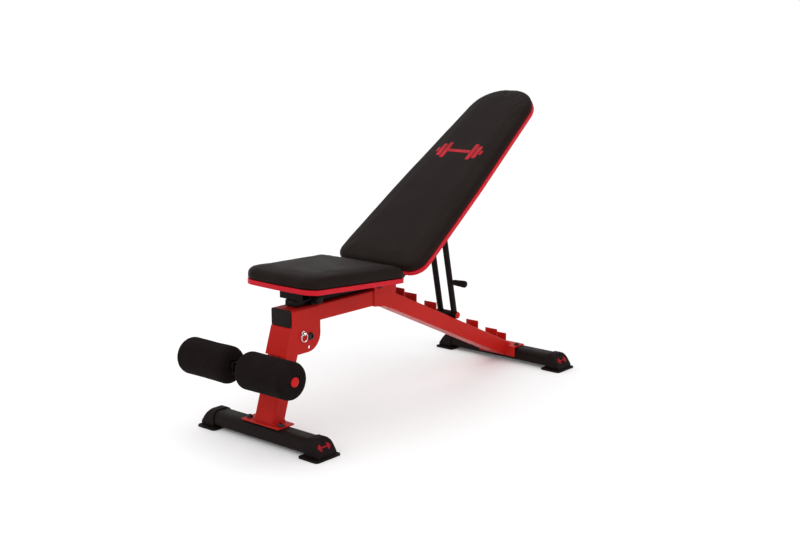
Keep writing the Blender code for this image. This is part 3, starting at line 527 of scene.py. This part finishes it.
def fill_out(item, pinned):
    """Presses the skin outwards with a cloth simulation, by less than SWELL_CAP."""
    group = item.vertex_groups.new(name="pinned")
    group.add(pinned, 1.0, "REPLACE")
    start = [v.co.copy() for v in item.data.vertices]
    cloth = item.modifiers.new("cloth", "CLOTH")
    cloth.settings.quality = 5
    cloth.settings.mass = 0.25
    cloth.settings.tension_stiffness = COVER_STIFFNESS
    cloth.settings.compression_stiffness = COVER_STIFFNESS
    cloth.settings.bending_stiffness = 0.8
    cloth.settings.use_pressure = True
    cloth.settings.uniform_pressure_force = AIR_PRESSURE
    cloth.settings.vertex_group_mass = group.name
    cloth.settings.effector_weights.gravity = 0
    cloth.collision_settings.use_collision = False
    cloth.point_cache.frame_start = 1
    cloth.point_cache.frame_end = CLOTH_FRAMES
    for number in range(1, CLOTH_FRAMES + 1):
        bpy.context.scene.frame_set(number)
    evaluated = item.evaluated_get(bpy.context.evaluated_depsgraph_get())
    reached = [v.co.copy() for v in evaluated.data.vertices]
    item.modifiers.clear()
    item.vertex_groups.clear()
    for vertex, before, after in zip(item.data.vertices, start, reached):
        move = after - before
        if move.length:
            kept = SWELL_CAP * math.tanh(move.length / SWELL_CAP)
            vertex.co = before + move.normalized() * kept
    bpy.context.scene.frame_set(1)


def subdivided(item):
    """Halves the skin's squares and rounds it."""
    step = item.modifiers.new("finer", "SUBSURF")
    step.levels = 1
    step.render_levels = 1
    apply_modifiers(item)


def surface_of(mesh):
    """A mesh's surface, to look up points on it."""
    return BVHTree.FromPolygons([v.co for v in mesh.vertices],
                                [list(p.vertices) for p in mesh.polygons])


def settle(item, shell, share, proud):
    """Keeps a share of how far the skin stands off the CAD solid, plus proud(point)."""
    surface = surface_of(shell)
    for vertex in item.data.vertices:
        near, facing, _, _ = surface.find_nearest(vertex.co)
        out = (vertex.co - near).dot(facing)
        vertex.co += facing * (share * out + proud(vertex.co) - out)


def cushion(name, node, axes):
    """Foam under vinyl on a board: flat below, crowned on top, tight at its rounded edge."""
    shell = welded_copy(node)
    floor_z = local_box(node, axes)[0].z
    inverse = axes.inverted()
    item = remeshed(shell.copy())
    item.data.update()
    normals = [v.normal.copy() for v in item.data.vertices]
    pinned = []
    for number, (vertex, normal) in enumerate(zip(item.data.vertices, normals)):
        height = (inverse @ vertex.co).z - floor_z
        if height < GLUED_HEIGHT:
            pinned.append(number)
        else:
            vertex.co -= normal * SLACK
    fill_out(item, pinned)
    subdivided(item)

    def proud(point):
        """How far the skin stands out of the CAD solid: nothing near the hinge or the board."""
        place = inverse @ point
        away = clamped(abs(place.y) / 0.060 - 0.5)    # 0 to 30 mm from the hinge, 1 from 90
        risen = clamped((place.z - floor_z) / 0.012)  # 1 from 12 mm above the board
        drift = noise.noise(place * 16) * 0.00040 + noise.noise(place * 47) * 0.00012
        return (0.0005 * away + drift) * risen

    settle(item, shell, SWELL_KEPT, proud)
    base = axes @ Matrix.Translation((0, 0, floor_z))
    flatten = base.inverted()
    for vertex in item.data.vertices:
        place = flatten @ vertex.co
        if place.z < CLEAR_OF_BOARD:
            place.z = CLEAR_OF_BOARD
            vertex.co = base @ place
    mesh = item.data
    bpy.data.objects.remove(item)
    mesh.shade_smooth()
    piece = add_piece(name, mesh, "vinyl", BODY_OF[node], [node])
    return piece


cushion("seat_cushion", "seat_pad", SEAT_AXES)
BACK_CUSHION = cushion("back_cushion", "back_pad", BACK_AXES)


def foam_sleeve(side, node):
    """A foam roller: rounded ends, slightly sunk round the plug, a faint waist and dents."""
    low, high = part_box(node)
    middle = (low + high) / 2
    radius = (high.z - low.z) / 2
    length = high.x - low.x
    edge, bore = 0.018, 0.0118
    flat = radius - edge
    rows = [(bore, 0.004), (bore + 0.0016, 0.0008), (bore + 0.0050, 0.0), (flat * 0.72, 0.0)]
    for k in range(1, 13):
        angle = math.pi / 2 * k / 12
        rows.append((flat + edge * math.sin(angle), edge - edge * math.cos(angle)))
    for k in range(1, 14):
        along = k / 14
        waist = -0.0007 * math.sin(math.pi * along)
        rows.append((radius + waist, edge + (length - 2 * edge) * along))
    for k in range(0, 12):
        angle = math.pi / 2 * (1 - k / 12)
        rows.append((flat + edge * math.sin(angle), length - edge + edge * math.cos(angle)))
    rows += [(flat, length - 0.0001), (flat * 0.80, length - 0.0006),
             (bore + 0.0035, length - 0.0013), (bore + 0.0006, length - 0.0016),
             (bore, length - 0.0045)]
    outwards = ALONG_X if side > 0 else AGAINST_X
    start = Vector((low.x if side > 0 else high.x, middle.y, middle.z))
    work = bmesh.new()
    turn(work, rounded(rows), Matrix.Translation(start) @ outwards, 96, joined=True)
    bmesh.ops.subdivide_edges(work, edges=[e for e in work.edges if e.calc_length() > 0.004],
                              cuts=1, use_grid_fill=True)
    mesh = finished(work, 60)
    for vertex, normal in zip(mesh.vertices, [v.normal.copy() for v in mesh.vertices]):
        from_axis = Vector((0, vertex.co.y - middle.y, vertex.co.z - middle.z)).length
        share = clamped((from_axis - 0.018) / 0.012)  # none close to the red plug
        drift = noise.noise(vertex.co * 21) * 0.0006 + noise.noise(vertex.co * 70) * 0.0002
        vertex.co += normal * (drift - 0.0004) * share
    piece = add_piece(f"foam_sleeve_{'left' if side < 0 else 'right'}", mesh, "foam",
                      BODY_OF[node], [node])


foam_sleeve(-1, "foam_roller_left")
foam_sleeve(1, "foam_roller_right")


# ---------------------------------------------------------------- fasteners, knob and grip
def bolt_head(radius, height):
    """A domed head with a hexagon socket, from its seat upwards to the socket's floor."""
    socket = radius * 0.52
    return rounded([
        (radius * 0.96, 0.0), (radius, height * 0.07), (radius, height * 0.30),
        (radius * 0.93, height * 0.58), (radius * 0.80, height * 0.80),
        (radius * 0.66, height * 0.92),
    ]) + [
        (socket * 1.12, height * 0.965, "hex"), (socket, height * 0.93, "hex"),
        (socket * 0.98, height * 0.40, "hex"), (0, height * 0.36, "round"),
    ]


def lock_nut(radius, height):
    """A hexagon nut with a flange below and a nylon collar on top."""
    return rounded([
        (radius, 0.0), (radius, height * 0.10), (radius * 0.94, height * 0.16),
    ]) + [
        (radius * 0.97, height * 0.18, "hex"), (radius * 0.97, height * 0.60, "hex"),
    ] + rounded([
        (radius * 0.86, height * 0.68), (radius * 0.80, height * 0.90),
        (radius * 0.66, height * 0.96), (radius * 0.54, height * 0.92),
        (radius * 0.50, height * 0.99), (0, height),
    ])


def add_fastener(node, rows, matrix):
    """Adds the detailed bolt that stands for a plain CAD bolt."""
    work = bmesh.new()
    turn(work, rows, matrix)
    add_piece(node.replace("bolt", "fastener"), finished(work), "black_steel", BODY_OF[node],
              [node])


def through_bolt(node, shank):
    """A socket bolt on the +X side and its lock nut on the other."""
    low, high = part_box(node)
    radius = (high.z - low.z) / 2
    head = 0.0062
    reach = high.x - head
    rows = [(r, reach + z, s) for r, z, s in reversed(bolt_head(radius, head))]
    rows += rounded([(shank, reach), (shank, -reach)])
    rows += [(r, -reach - z, s) for r, z, s in lock_nut(radius, head)]
    add_fastener(node, rows, Matrix.Translation((low + high) / 2) @ ALONG_X)


def foot_fastener(node):
    """A socket bolt on a washer, going down into the foot."""
    low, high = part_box(node)
    middle = (low + high) / 2
    washer = 0.0014
    seat = high.z - washer - 0.0056
    tip = low.z - seat
    rows = [(r, washer + z, s) for r, z, s in reversed(bolt_head(0.0070, 0.0056))]
    rows += rounded([(0.0084, washer), (0.0086, 0.0011), (0.0086, 0.0003), (0.0084, 0.0),
                     (0.0039, 0.0), (0.0039, tip), (0, tip)])
    add_fastener(node, rows, Matrix.Translation((middle.x, middle.y, seat)))


for node, shank in (("leg_pivot_bolt", 0.0050), ("back_hinge_bolt", 0.0050),
                    ("seat_hinge_bolt", 0.0050), ("strut_bolt", 0.0040)):
    through_bolt(node, shank)
for node in ("rear_bolt_left", "rear_bolt_right", "front_bolt_left", "front_bolt_right"):
    foot_fastener(node)


def clamp_knob():
    """The fluted knob that clamps the seat's curved plate."""
    low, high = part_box("seat_knob")
    middle = (low + high) / 2
    top = high.x - low.x
    rows = rounded([(0, top), (0.0060, top - 0.0002), (0.0092, top - 0.0010)])
    rows += [(0.0113, top - 0.0028, "fluted"), (0.0129, top - 0.0060, "fluted"),
             (0.0130, top - 0.0095, "fluted"), (0.0125, top - 0.0138, "fluted"),
             (0.0108, top - 0.0160, "fluted")]
    rows += rounded([(0.0090, 0.0120), (0.0090, 0.0111), (0.0040, 0.0111), (0.0040, 0), (0, 0)])
    work = bmesh.new()
    turn(work, rows, Matrix.Translation((low.x, middle.y, middle.z)) @ ALONG_X, 112)
    add_piece("clamp_knob", finished(work), "black_plastic", "seat_knob", ["seat_knob"])


def ribbed_grip():
    """The strut's handle: a flared rubber grip with rings pressed into it."""
    low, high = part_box("strut_handle")
    middle = (low + high) / 2
    length = high.x - low.x
    wide = (high.z - low.z) / 2
    narrow, groove, tip, rings = 0.0078, 0.0006, 0.0060, 8
    first, last = 0.008, length - 0.014
    pitch = (last - first) / rings
    rows = [(0, 0), (0.0050, 0), (0.0050, 0.0030), (0.0070, 0.0034), (0.0074, 0.0046)]
    for k in range(rings):
        at = first + (last - first) * k / rings
        reach = narrow + (wide - 0.0003 - narrow) * (at / last)
        rows += [(reach, at), (reach, at + pitch * 0.55), (reach - groove, at + pitch * 0.68),
                 (reach - groove, at + pitch * 0.86)]
    rows += [(wide, length - 0.0130), (wide * 0.995, length - 0.0080)]
    for k in range(1, 7):
        angle = math.pi / 2 * k / 6
        rows.append((wide - tip + tip * math.cos(angle), length - tip + tip * math.sin(angle)))
    rows.append((0, length))
    work = bmesh.new()
    turn(work, rounded(rows), Matrix.Translation((low.x, middle.y, middle.z)) @ ALONG_X)
    add_piece("strut_grip", finished(work, 50), "rubber", "strut", ["strut_handle"])


clamp_knob()
ribbed_grip()


# ---------------------------------------------------------------- tube end plugs
def rounded_outline(width, height, radius, steps=7):
    """Points round a rectangle with rounded corners, in its own plane."""
    w, h = width / 2 - radius, height / 2 - radius
    points = []
    for x, y, base in ((w, h, 0), (-w, h, 90), (-w, -h, 180), (w, -h, 270)):
        for k in range(steps):
            angle = math.radians(base + 90 * k / (steps - 1))
            points.append((x + radius * math.cos(angle), y + radius * math.sin(angle)))
    return points


def end_plug(name, width, height, matrix, body, thick=0.0022):
    """A moulded plug over a tube's open end, slightly domed, with a rounded rim."""
    work = bmesh.new()
    layers = [(0.0, 0.0), (0.0, thick * 0.55), (thick * 0.18, thick * 0.85),
              (thick * 0.6, thick), (0.004, thick * 1.04)]
    loops = []
    for inset, lift in layers:
        corner = max(0.0034 - inset * 0.5, 0.0015)
        outline = rounded_outline(width - 2 * inset, height - 2 * inset, corner)
        loops.append([work.verts.new(matrix @ Vector((x, y, lift))) for x, y in outline])
    for one, two in zip(loops, loops[1:]):
        for k in range(len(one)):
            work.faces.new((one[k - 1], one[k], two[k], two[k - 1]))
    work.faces.new(loops[0])
    top = work.verts.new(matrix @ Vector((0, 0, thick * 1.10)))
    for k in range(len(loops[-1])):
        work.faces.new((loops[-1][k - 1], loops[-1][k], top))
    add_piece(name, finished(work, 40), "black_plastic", body)


def rail_plug(side):
    """The plug in the upper end of a rail behind the backrest."""
    low, high = local_box(f"back_rail_{side}", BACK_AXES)
    end = Vector(((low.x + high.x) / 2, high.y + 0.0002, (low.z + high.z) / 2))
    matrix = BACK_AXES @ Matrix.Translation(end) @ Matrix.Rotation(-math.pi / 2, 4, "X")
    end_plug(f"rail_plug_{side}", 0.0236, 0.0376, matrix, "backrest")


def seat_tube_plug():
    """The plug in the seat tube's front end, just below its front riser."""
    end = Vector((0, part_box("seat_tube")[0].y - 0.0002,
                  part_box("seat_front_riser")[0].z - 0.0086))
    matrix = Matrix.Translation(end) @ Matrix.Rotation(math.pi / 2, 4, "X")
    end_plug("seat_tube_plug", 0.0352, 0.0154, matrix, "seat", 0.0018)


rail_plug("left")
rail_plug("right")
seat_tube_plug()


# ---------------------------------------------------------------- weld beads
BEAD_STEP = 0.0006
STEPS_PER_RIPPLE = 4.2
BEADS = {"behind_plate": 0.0017, "beside_plate": 0.0014, "beam_side": 0.0020,
         "beam_top": 0.0018, "bracket": 0.0018, "spine_side": 0.0024, "saddle_front": 0.0020,
         "spine_end": 0.0022, "leg": 0.0023, "holder": 0.0015, "strut": 0.0013}


def bead(work, points, kind, closed=False):
    """A rippled weld bead of a named kind along points."""
    radius = BEADS[kind]
    path = even_steps(points, BEAD_STEP, closed)
    seed = path[0] * 31

    def radius_at(k):
        ripple = 0.13 * math.sin(2 * math.pi * k / STEPS_PER_RIPPLE)
        drift = 0.18 * noise.noise(seed + Vector((k * 0.09, 0, 0)))
        ends = 1.0 if closed else min(1.0, 0.35 + min(k, len(path) - 1 - k) / 4)
        return radius * (1 + ripple + drift) * ends

    sweep(work, path, radius_at, closed)


def round_corner(a, corner, b, radius, pieces=4):
    """Points round a corner of a bead's path."""
    one = corner + (a - corner).normalized() * radius
    two = corner + (b - corner).normalized() * radius
    return [one.lerp(corner, t / pieces).lerp(corner.lerp(two, t / pieces), t / pieces)
            for t in range(pieces + 1)]


def bead_loop(corners, radius):
    """A closed path through corners, each rounded."""
    count = len(corners)
    path = []
    for i in range(count):
        path += round_corner(corners[i - 1], corners[i], corners[(i + 1) % count], radius)
    return path


def rack_welds(work):
    """Beads behind and beside each rack plate, on the sloping tube."""
    inverse = SPINE_AXES.inverted()
    top = local_box("rear_spine", SPINE_AXES)[1].z
    for number in range(1, 8):
        low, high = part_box(f"rack_tooth_{number}")
        rear = (inverse @ Vector((0, high.y, low.z))).y + 0.0005
        ends = [SPINE_AXES @ Vector((x, rear, top + 0.0004)) for x in (-0.0200, 0.0200)]
        bead(work, ends, "behind_plate")
        middle = (inverse @ Vector((0, (low.y + high.y) / 2, low.z))).y
        for side in (-1, 1):
            x = side * (high.x + 0.0004)
            ends = [SPINE_AXES @ Vector((x, middle + step, top + 0.0003))
                    for step in (-0.0020, 0.0020)]
            bead(work, ends, "beside_plate")


def beam_welds(work):
    """Beads where the front beam meets the tower and the hinge bracket."""
    low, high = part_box("front_beam")
    bracket_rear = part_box("hinge_bracket")[1].y + 0.0005
    for side in (-1, 1):
        x = side * (high.x + 0.0003)
        bead(work, [Vector((x, high.y, low.z + 0.003)), Vector((x, high.y, high.z - 0.003))],
             "beam_side")
        z = high.z + 0.0003
        bead(work, [Vector((side * 0.0205, high.y, z)), Vector((side * 0.0310, high.y, z))],
             "beam_top")
        x = side * (high.x + 0.0004)
        bead(work, [Vector((x, bracket_rear, low.z + 0.004)),
                    Vector((x, bracket_rear, high.z - 0.010))], "bracket")


def saddle_welds(work):
    """Beads round the sloping tube's rear end, on the plate over the rear foot."""
    low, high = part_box("rear_saddle")
    spine_half = local_box("rear_spine", SPINE_AXES)[1].x
    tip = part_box("rear_spine")[1].y
    z = high.z + 0.0006
    for side in (-1, 1):
        x = side * (spine_half + 0.0004)
        bead(work, [Vector((x, low.y + 0.002, z)), Vector((x + side * 0.00175, tip - 0.008, z)),
                    Vector((x - side * 0.001, tip - 0.001, z)),
                    Vector((x - side * 0.010, tip + 0.0006, z))], "spine_side")
        y = low.y - 0.0002
        bead(work, [Vector((x, y, low.z + 0.004)), Vector((x, y, high.z - 0.003))],
             "saddle_front")
    bead(work, [Vector((-0.022, tip + 0.0006, z)), Vector((0.022, tip + 0.0006, z))],
         "spine_end")


def frame_welds():
    """All beads on the fixed frame, as one piece."""
    work = bmesh.new()
    rack_welds(work)
    beam_welds(work)
    saddle_welds(work)
    add_piece("frame_weld_beads", finished(work, 75), "red_paint", "frame")


def leg_point(across, height):
    """A point on a line along the leg, at a distance across it, at a height, for x = 0."""
    pivot = centre("leg_pivot_bolt")
    along = (height - pivot.z + across * math.sin(LEG_LEAN)) / math.cos(LEG_LEAN)
    return Vector((0, pivot.y + across * math.cos(LEG_LEAN) + along * math.sin(LEG_LEAN),
                   height))


def leg_welds():
    """A bead round the leg's foot."""
    work = bmesh.new()
    low, high = local_box("leg_tube", LEG_AXES)
    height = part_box("front_saddle")[1].z + 0.0006
    front = leg_point(low.y - 0.0003, height)
    rear = leg_point(high.y + 0.0003, height)
    aside = Vector((high.x + 0.0003, 0, 0))
    corners = [front - aside, front + aside, rear + aside, rear - aside]
    bead(work, bead_loop(corners, 0.005), "leg", True)
    add_piece("leg_weld_beads", finished(work, 75), "red_paint", "front_leg")


def holder_weld():
    """A bead round the roller holder, on the leg's front face."""
    work = bmesh.new()
    low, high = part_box("roller_holder")
    middle = (LEG_AXES.inverted() @ Vector((0, high.y, (low.z + high.z) / 2))).z
    face = local_box("leg_tube", LEG_AXES)[0].y - 0.0006
    wide, tall = 0.0104, 0.0165
    corners = [LEG_AXES @ Vector((x, face, middle + z))
               for x, z in ((-wide, -tall), (wide, -tall), (wide, tall), (-wide, tall))]
    bead(work, bead_loop(corners, 0.004), "holder", True)
    add_piece("holder_weld_bead", finished(work, 75), "black_paint", "front_leg")


def strut_welds():
    """A bead round each arm, where it meets the foot bar."""
    work = bmesh.new()
    low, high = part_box("strut_foot_bar")
    bar = (low + high) / 2
    bar_radius = (high.z - low.z) / 2
    upward = (centre("strut_bolt") - bar).normalized()
    aside = Vector((1, 0, 0)).cross(upward)
    steps = 28
    for side in ("left", "right"):
        low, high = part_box(f"strut_arm_{side}")
        arm_x, arm_radius = (low.x + high.x) / 2, (high.x - low.x) / 2
        path = []
        for k in range(steps):
            angle = 2 * math.pi * k / steps
            off = arm_radius * math.sin(angle)
            rise = math.sqrt(bar_radius ** 2 - off ** 2)
            path.append(bar + Vector((arm_x + arm_radius * math.cos(angle), 0, 0))
                        + aside * off + upward * (rise + 0.0006))
        bead(work, path, "strut", True)
    add_piece("strut_weld_beads", finished(work, 75), "black_paint", "strut")


frame_welds()
leg_welds()
holder_weld()
strut_welds()


# ---------------------------------------------------------------- prints
PRINT_GRID = 0.0016
PRINT_SUNK = 0.0004


def print_cell(work, surface, matrix, shape, lift):
    """Adds one rounded rectangle, laid on a surface as a thin closed film."""
    x, y, width, height, radius = shape
    columns = max(4, round(width / PRINT_GRID))
    rows = max(4, round(height / PRINT_GRID))
    half_w, half_h = width / 2, height / 2
    facing = matrix.to_3x3() @ Vector((0, 0, 1))

    def point(i, j, depth):
        """A grid point, pulled in at the corners and dropped onto the surface."""
        u, v = -half_w + width * i / columns, -half_h + height * j / rows
        du, dv = abs(u) - (half_w - radius), abs(v) - (half_h - radius)
        if du > 0 and dv > 0:
            pull = max(du, dv) / math.hypot(du, dv)
            u = math.copysign(half_w - radius + du * pull, u)
            v = math.copysign(half_h - radius + dv * pull, v)
        above = matrix @ Vector((x + u, y + v, 0.03))
        hit = surface.ray_cast(above, -facing, 0.08)[0]
        return (hit or matrix @ Vector((x + u, y + v, 0))) + facing * depth

    top, under = [[[work.verts.new(point(i, j, depth)) for i in range(columns + 1)]
                   for j in range(rows + 1)] for depth in (lift, -PRINT_SUNK)]
    for j in range(rows):
        for i in range(columns):
            work.faces.new((top[j][i], top[j][i + 1], top[j + 1][i + 1], top[j + 1][i]))
            work.faces.new((under[j][i], under[j + 1][i], under[j + 1][i + 1], under[j][i + 1]))
    rim = [(j, 0) for j in range(rows)] + [(rows, i) for i in range(columns)]
    rim += [(j, columns) for j in range(rows, 0, -1)] + [(0, i) for i in range(columns, 0, -1)]
    for (j, i), (n, m) in zip(rim, rim[1:] + rim[:1]):
        work.faces.new((top[j][i], top[n][m], under[n][m], under[j][i]))


def dumbbell(size):
    """A plain dumbbell sign, as rounded rectangles of a given overall width."""
    unit = size / 26
    shapes = [(0, 0, 12.4 * unit, 1.9 * unit, 0.3 * unit)]
    for side in (-1, 1):
        shapes += [(side * 7.5 * unit, 0, 2.2 * unit, 11.0 * unit, 0.8 * unit),
                   (side * 10.2 * unit, 0, 2.2 * unit, 8.4 * unit, 0.8 * unit),
                   (side * 12.4 * unit, 0, 1.2 * unit, 3.0 * unit, 0.4 * unit)]
    return shapes


def printed(name, shapes, item, matrix, body, slot, lift=0.00025):
    """A sign laid on an item's surface, in the plane of matrix."""
    work = bmesh.new()
    surface = surface_of(item.data)
    for shape in shapes:
        print_cell(work, surface, matrix, shape, lift)
    add_piece(name, finished(work, 40), slot, body, look=PRINT)


def back_print():
    """The sign across the upper part of the backrest."""
    top = local_box("back_pad", BACK_AXES)[1].z
    printed("back_print", dumbbell(0.160), BACK_CUSHION,
            BACK_AXES @ Matrix.Translation((0, 0.446, top)), "backrest", "red_vinyl")


def cap_print(node):
    """A small sign on the sloping end of a foot cap."""
    low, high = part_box(node)
    side = 1 if high.x > 0 else -1
    outer = high.x if side > 0 else low.x
    middle = Vector((outer - side * 0.0190, (low.y + high.y) / 2, 0.0265))
    out = Vector((side * math.cos(CAP_SLOPE), 0, math.sin(CAP_SLOPE)))
    across = Vector((0, side, 0))
    turned = Matrix((across, out.cross(across), out)).transposed().to_4x4()
    printed(node.replace("cap", "print"), dumbbell(0.042), NODES[node],
            Matrix.Translation(middle) @ turned, BODY_OF[node], "red_plastic", 0.0003)


back_print()
for node in ("front_foot_cap_left", "front_foot_cap_right", "rear_foot_cap_left",
             "rear_foot_cap_right"):
    cap_print(node)


# ---------------------------------------------------------------- screws and staples
STAPLE_SPACING = 0.030
STAPLE_INSET = 0.011
STAPLE_HALF_WIRE = 0.0005
STAPLE_PROFILE = [(-0.0052, -0.0002), (-0.0052, -0.0006), (-0.0042, -0.0009),
                  (0.0042, -0.0009), (0.0052, -0.0006), (0.0052, -0.0002)]


def rail_screws():
    """Socket-headed screws that hold the board, in the rear faces of the rails."""
    work = bmesh.new()
    rows = list(reversed(bolt_head(0.0056, 0.0028))) + [(0, 0.0, "round")]
    for side in ("left", "right"):
        low, high = local_box(f"back_rail_{side}", BACK_AXES)
        for y in (0.085, 0.330, 0.480):
            place = Matrix.Translation(((low.x + high.x) / 2, y, low.z))
            turn(work, rows, BACK_AXES @ place @ Matrix.Rotation(math.pi, 4, "X"), 36)
    add_piece("rail_screws", finished(work), "black_steel", "backrest")


def shrunk_outline(node, axes, inset):
    """The outline of a node seen along its own z, drawn in by inset, for z = 0."""
    inverse = axes.inverted()
    flat = [(inverse @ v.co).to_2d() for v in NODES[node].data.vertices]
    outline = [flat[i] for i in convex_hull_2d(flat)]
    middle = sum(outline, Vector((0, 0))) / len(outline)
    size = [max(abs(p[i] - middle[i]) for p in outline) for i in range(2)]
    return [Vector((middle[0] + (p[0] - middle[0]) * (1 - inset / size[0]),
                    middle[1] + (p[1] - middle[1]) * (1 - inset / size[1]), 0))
            for p in outline]


def staples(name, node, axes, body, blocked):
    """A row of staples round the underside of a board, where its cover is fixed."""
    underside = local_box(node, axes)[0].z
    path = even_steps(shrunk_outline(node, axes, STAPLE_INSET), STAPLE_SPACING, True)
    work = bmesh.new()
    for k, point in enumerate(path):
        if blocked(point):
            continue
        along = (path[(k + 1) % len(path)] - path[k - 1]).normalized()
        across = Vector((-along.y, along.x, 0))
        sides = []
        for wide in (-STAPLE_HALF_WIRE, STAPLE_HALF_WIRE):
            sides.append([work.verts.new(axes @ (Vector((point.x, point.y, underside))
                                                 + along * a + across * wide
                                                 + Vector((0, 0, z))))
                          for a, z in STAPLE_PROFILE])
        one, two = sides
        for i in range(len(one)):
            j = (i + 1) % len(one)
            work.faces.new((one[i], one[j], two[j], two[i]))
        work.faces.new(one)
        work.faces.new(two)
    add_piece(name, finished(work, 50), "chrome", body)


def under_a_rail(point):
    """Whether a place by the backrest's lower edge is covered by one of its rails."""
    return point.y < 0.02 and 0.030 < abs(point.x) < 0.070


rail_screws()
staples("back_staples", "back_board", BACK_AXES, "backrest", under_a_rail)
staples("seat_staples", "seat_board", SEAT_AXES, "seat", lambda point: False)


# ---------------------------------------------------------------- floor, light and camera
IMAGE_WIDTH = 800


def floor():
    """A white studio floor just under the feet, lit a little from itself."""
    bpy.ops.mesh.primitive_circle_add(vertices=96, radius=30, fill_type="NGON",
                                      location=(0, 0, -0.0004))
    ground = bpy.context.object
    ground.name = "floor"
    look = Look("floor", (0.90, 0.90, 0.90), 0.65, Emission_Color=(1, 1, 1, 1),
                Emission_Strength=0.05)
    look.tint(look.span(look.noise(1.5, 3), 0.35, 0.65, 0.0, 0.5), (0.88, 0.88, 0.885))
    look.rough(look.span(look.noise(8, 3), 0.3, 0.7, 0.60, 0.72))
    look.bump(look.noise(160, 2), 0.0003, 0.1)
    ground.data.materials.append(look.material)


def place_lamp(name, data, direction, place=(0, 0, 0)):
    """Puts a lamp at a place, shining along a direction."""
    item = bpy.data.objects.new(name, data)
    bpy.context.scene.collection.objects.link(item)
    item.location = place
    item.rotation_euler = Vector(direction).to_track_quat("-Z", "Y").to_euler()


def soft_light(name, place, target, size, power):
    """A round soft lamp at a place, aimed at a target."""
    lamp = bpy.data.lights.new(name, "AREA")
    lamp.shape = "DISK"
    lamp.size = size
    lamp.energy = power
    place_lamp(name, lamp, Vector(target) - Vector(place), place)


def sun(name, direction, power, spread):
    """Even light along a direction, softened over an angle in degrees."""
    lamp = bpy.data.lights.new(name, "SUN")
    lamp.energy = power
    lamp.angle = math.radians(spread)
    place_lamp(name, lamp, direction)


def world(ambient, backdrop):
    """A white backdrop, and a dimmer even light from all round."""
    made = bpy.data.worlds.new("studio")
    bpy.context.scene.world = made
    made.use_nodes = True
    tree = made.node_tree
    seen = tree.nodes["Background"]
    seen.inputs["Color"].default_value = (1, 1, 1, 1)
    seen.inputs["Strength"].default_value = backdrop
    light = tree.nodes.new("ShaderNodeBackground")
    light.inputs["Color"].default_value = (1, 1, 1, 1)
    light.inputs["Strength"].default_value = ambient
    path = tree.nodes.new("ShaderNodeLightPath")
    blend = tree.nodes.new("ShaderNodeMixShader")
    tree.links.new(path.outputs["Is Camera Ray"], blend.inputs["Fac"])
    tree.links.new(light.outputs["Background"], blend.inputs[1])
    tree.links.new(seen.outputs["Background"], blend.inputs[2])
    tree.links.new(blend.outputs["Shader"], tree.nodes["World Output"].inputs["Surface"])


def photo_camera():
    """The photo's viewpoint, solved from its straight edges."""
    lens = bpy.data.cameras.new("camera")
    lens.lens = 55.22
    lens.sensor_width = 36
    lens.clip_end = 200
    lens.shift_x = -0.5 / IMAGE_WIDTH
    lens.shift_y = 0.75 / IMAGE_WIDTH
    camera = bpy.data.objects.new("camera", lens)
    bpy.context.scene.collection.objects.link(camera)
    camera.location = (2.1374, -2.4552, 1.0333)
    camera.rotation_euler = (math.radians(78.435), 0, math.radians(40.407))
    bpy.context.scene.camera = camera


floor()
world(ambient=0.66, backdrop=1.0)
sun("overhead_light", (0.25, 0.30, -1.0), power=1.55, spread=110)
soft_light("key_light", (1.9, -1.9, 1.7), (0, 0, 0.35), size=1.5, power=14)
soft_light("side_light", (2.6, 1.2, 1.3), (0, 0.1, 0.35), size=1.2, power=10)
bpy.context.scene.view_settings.view_transform = "Standard"
photo_camera()
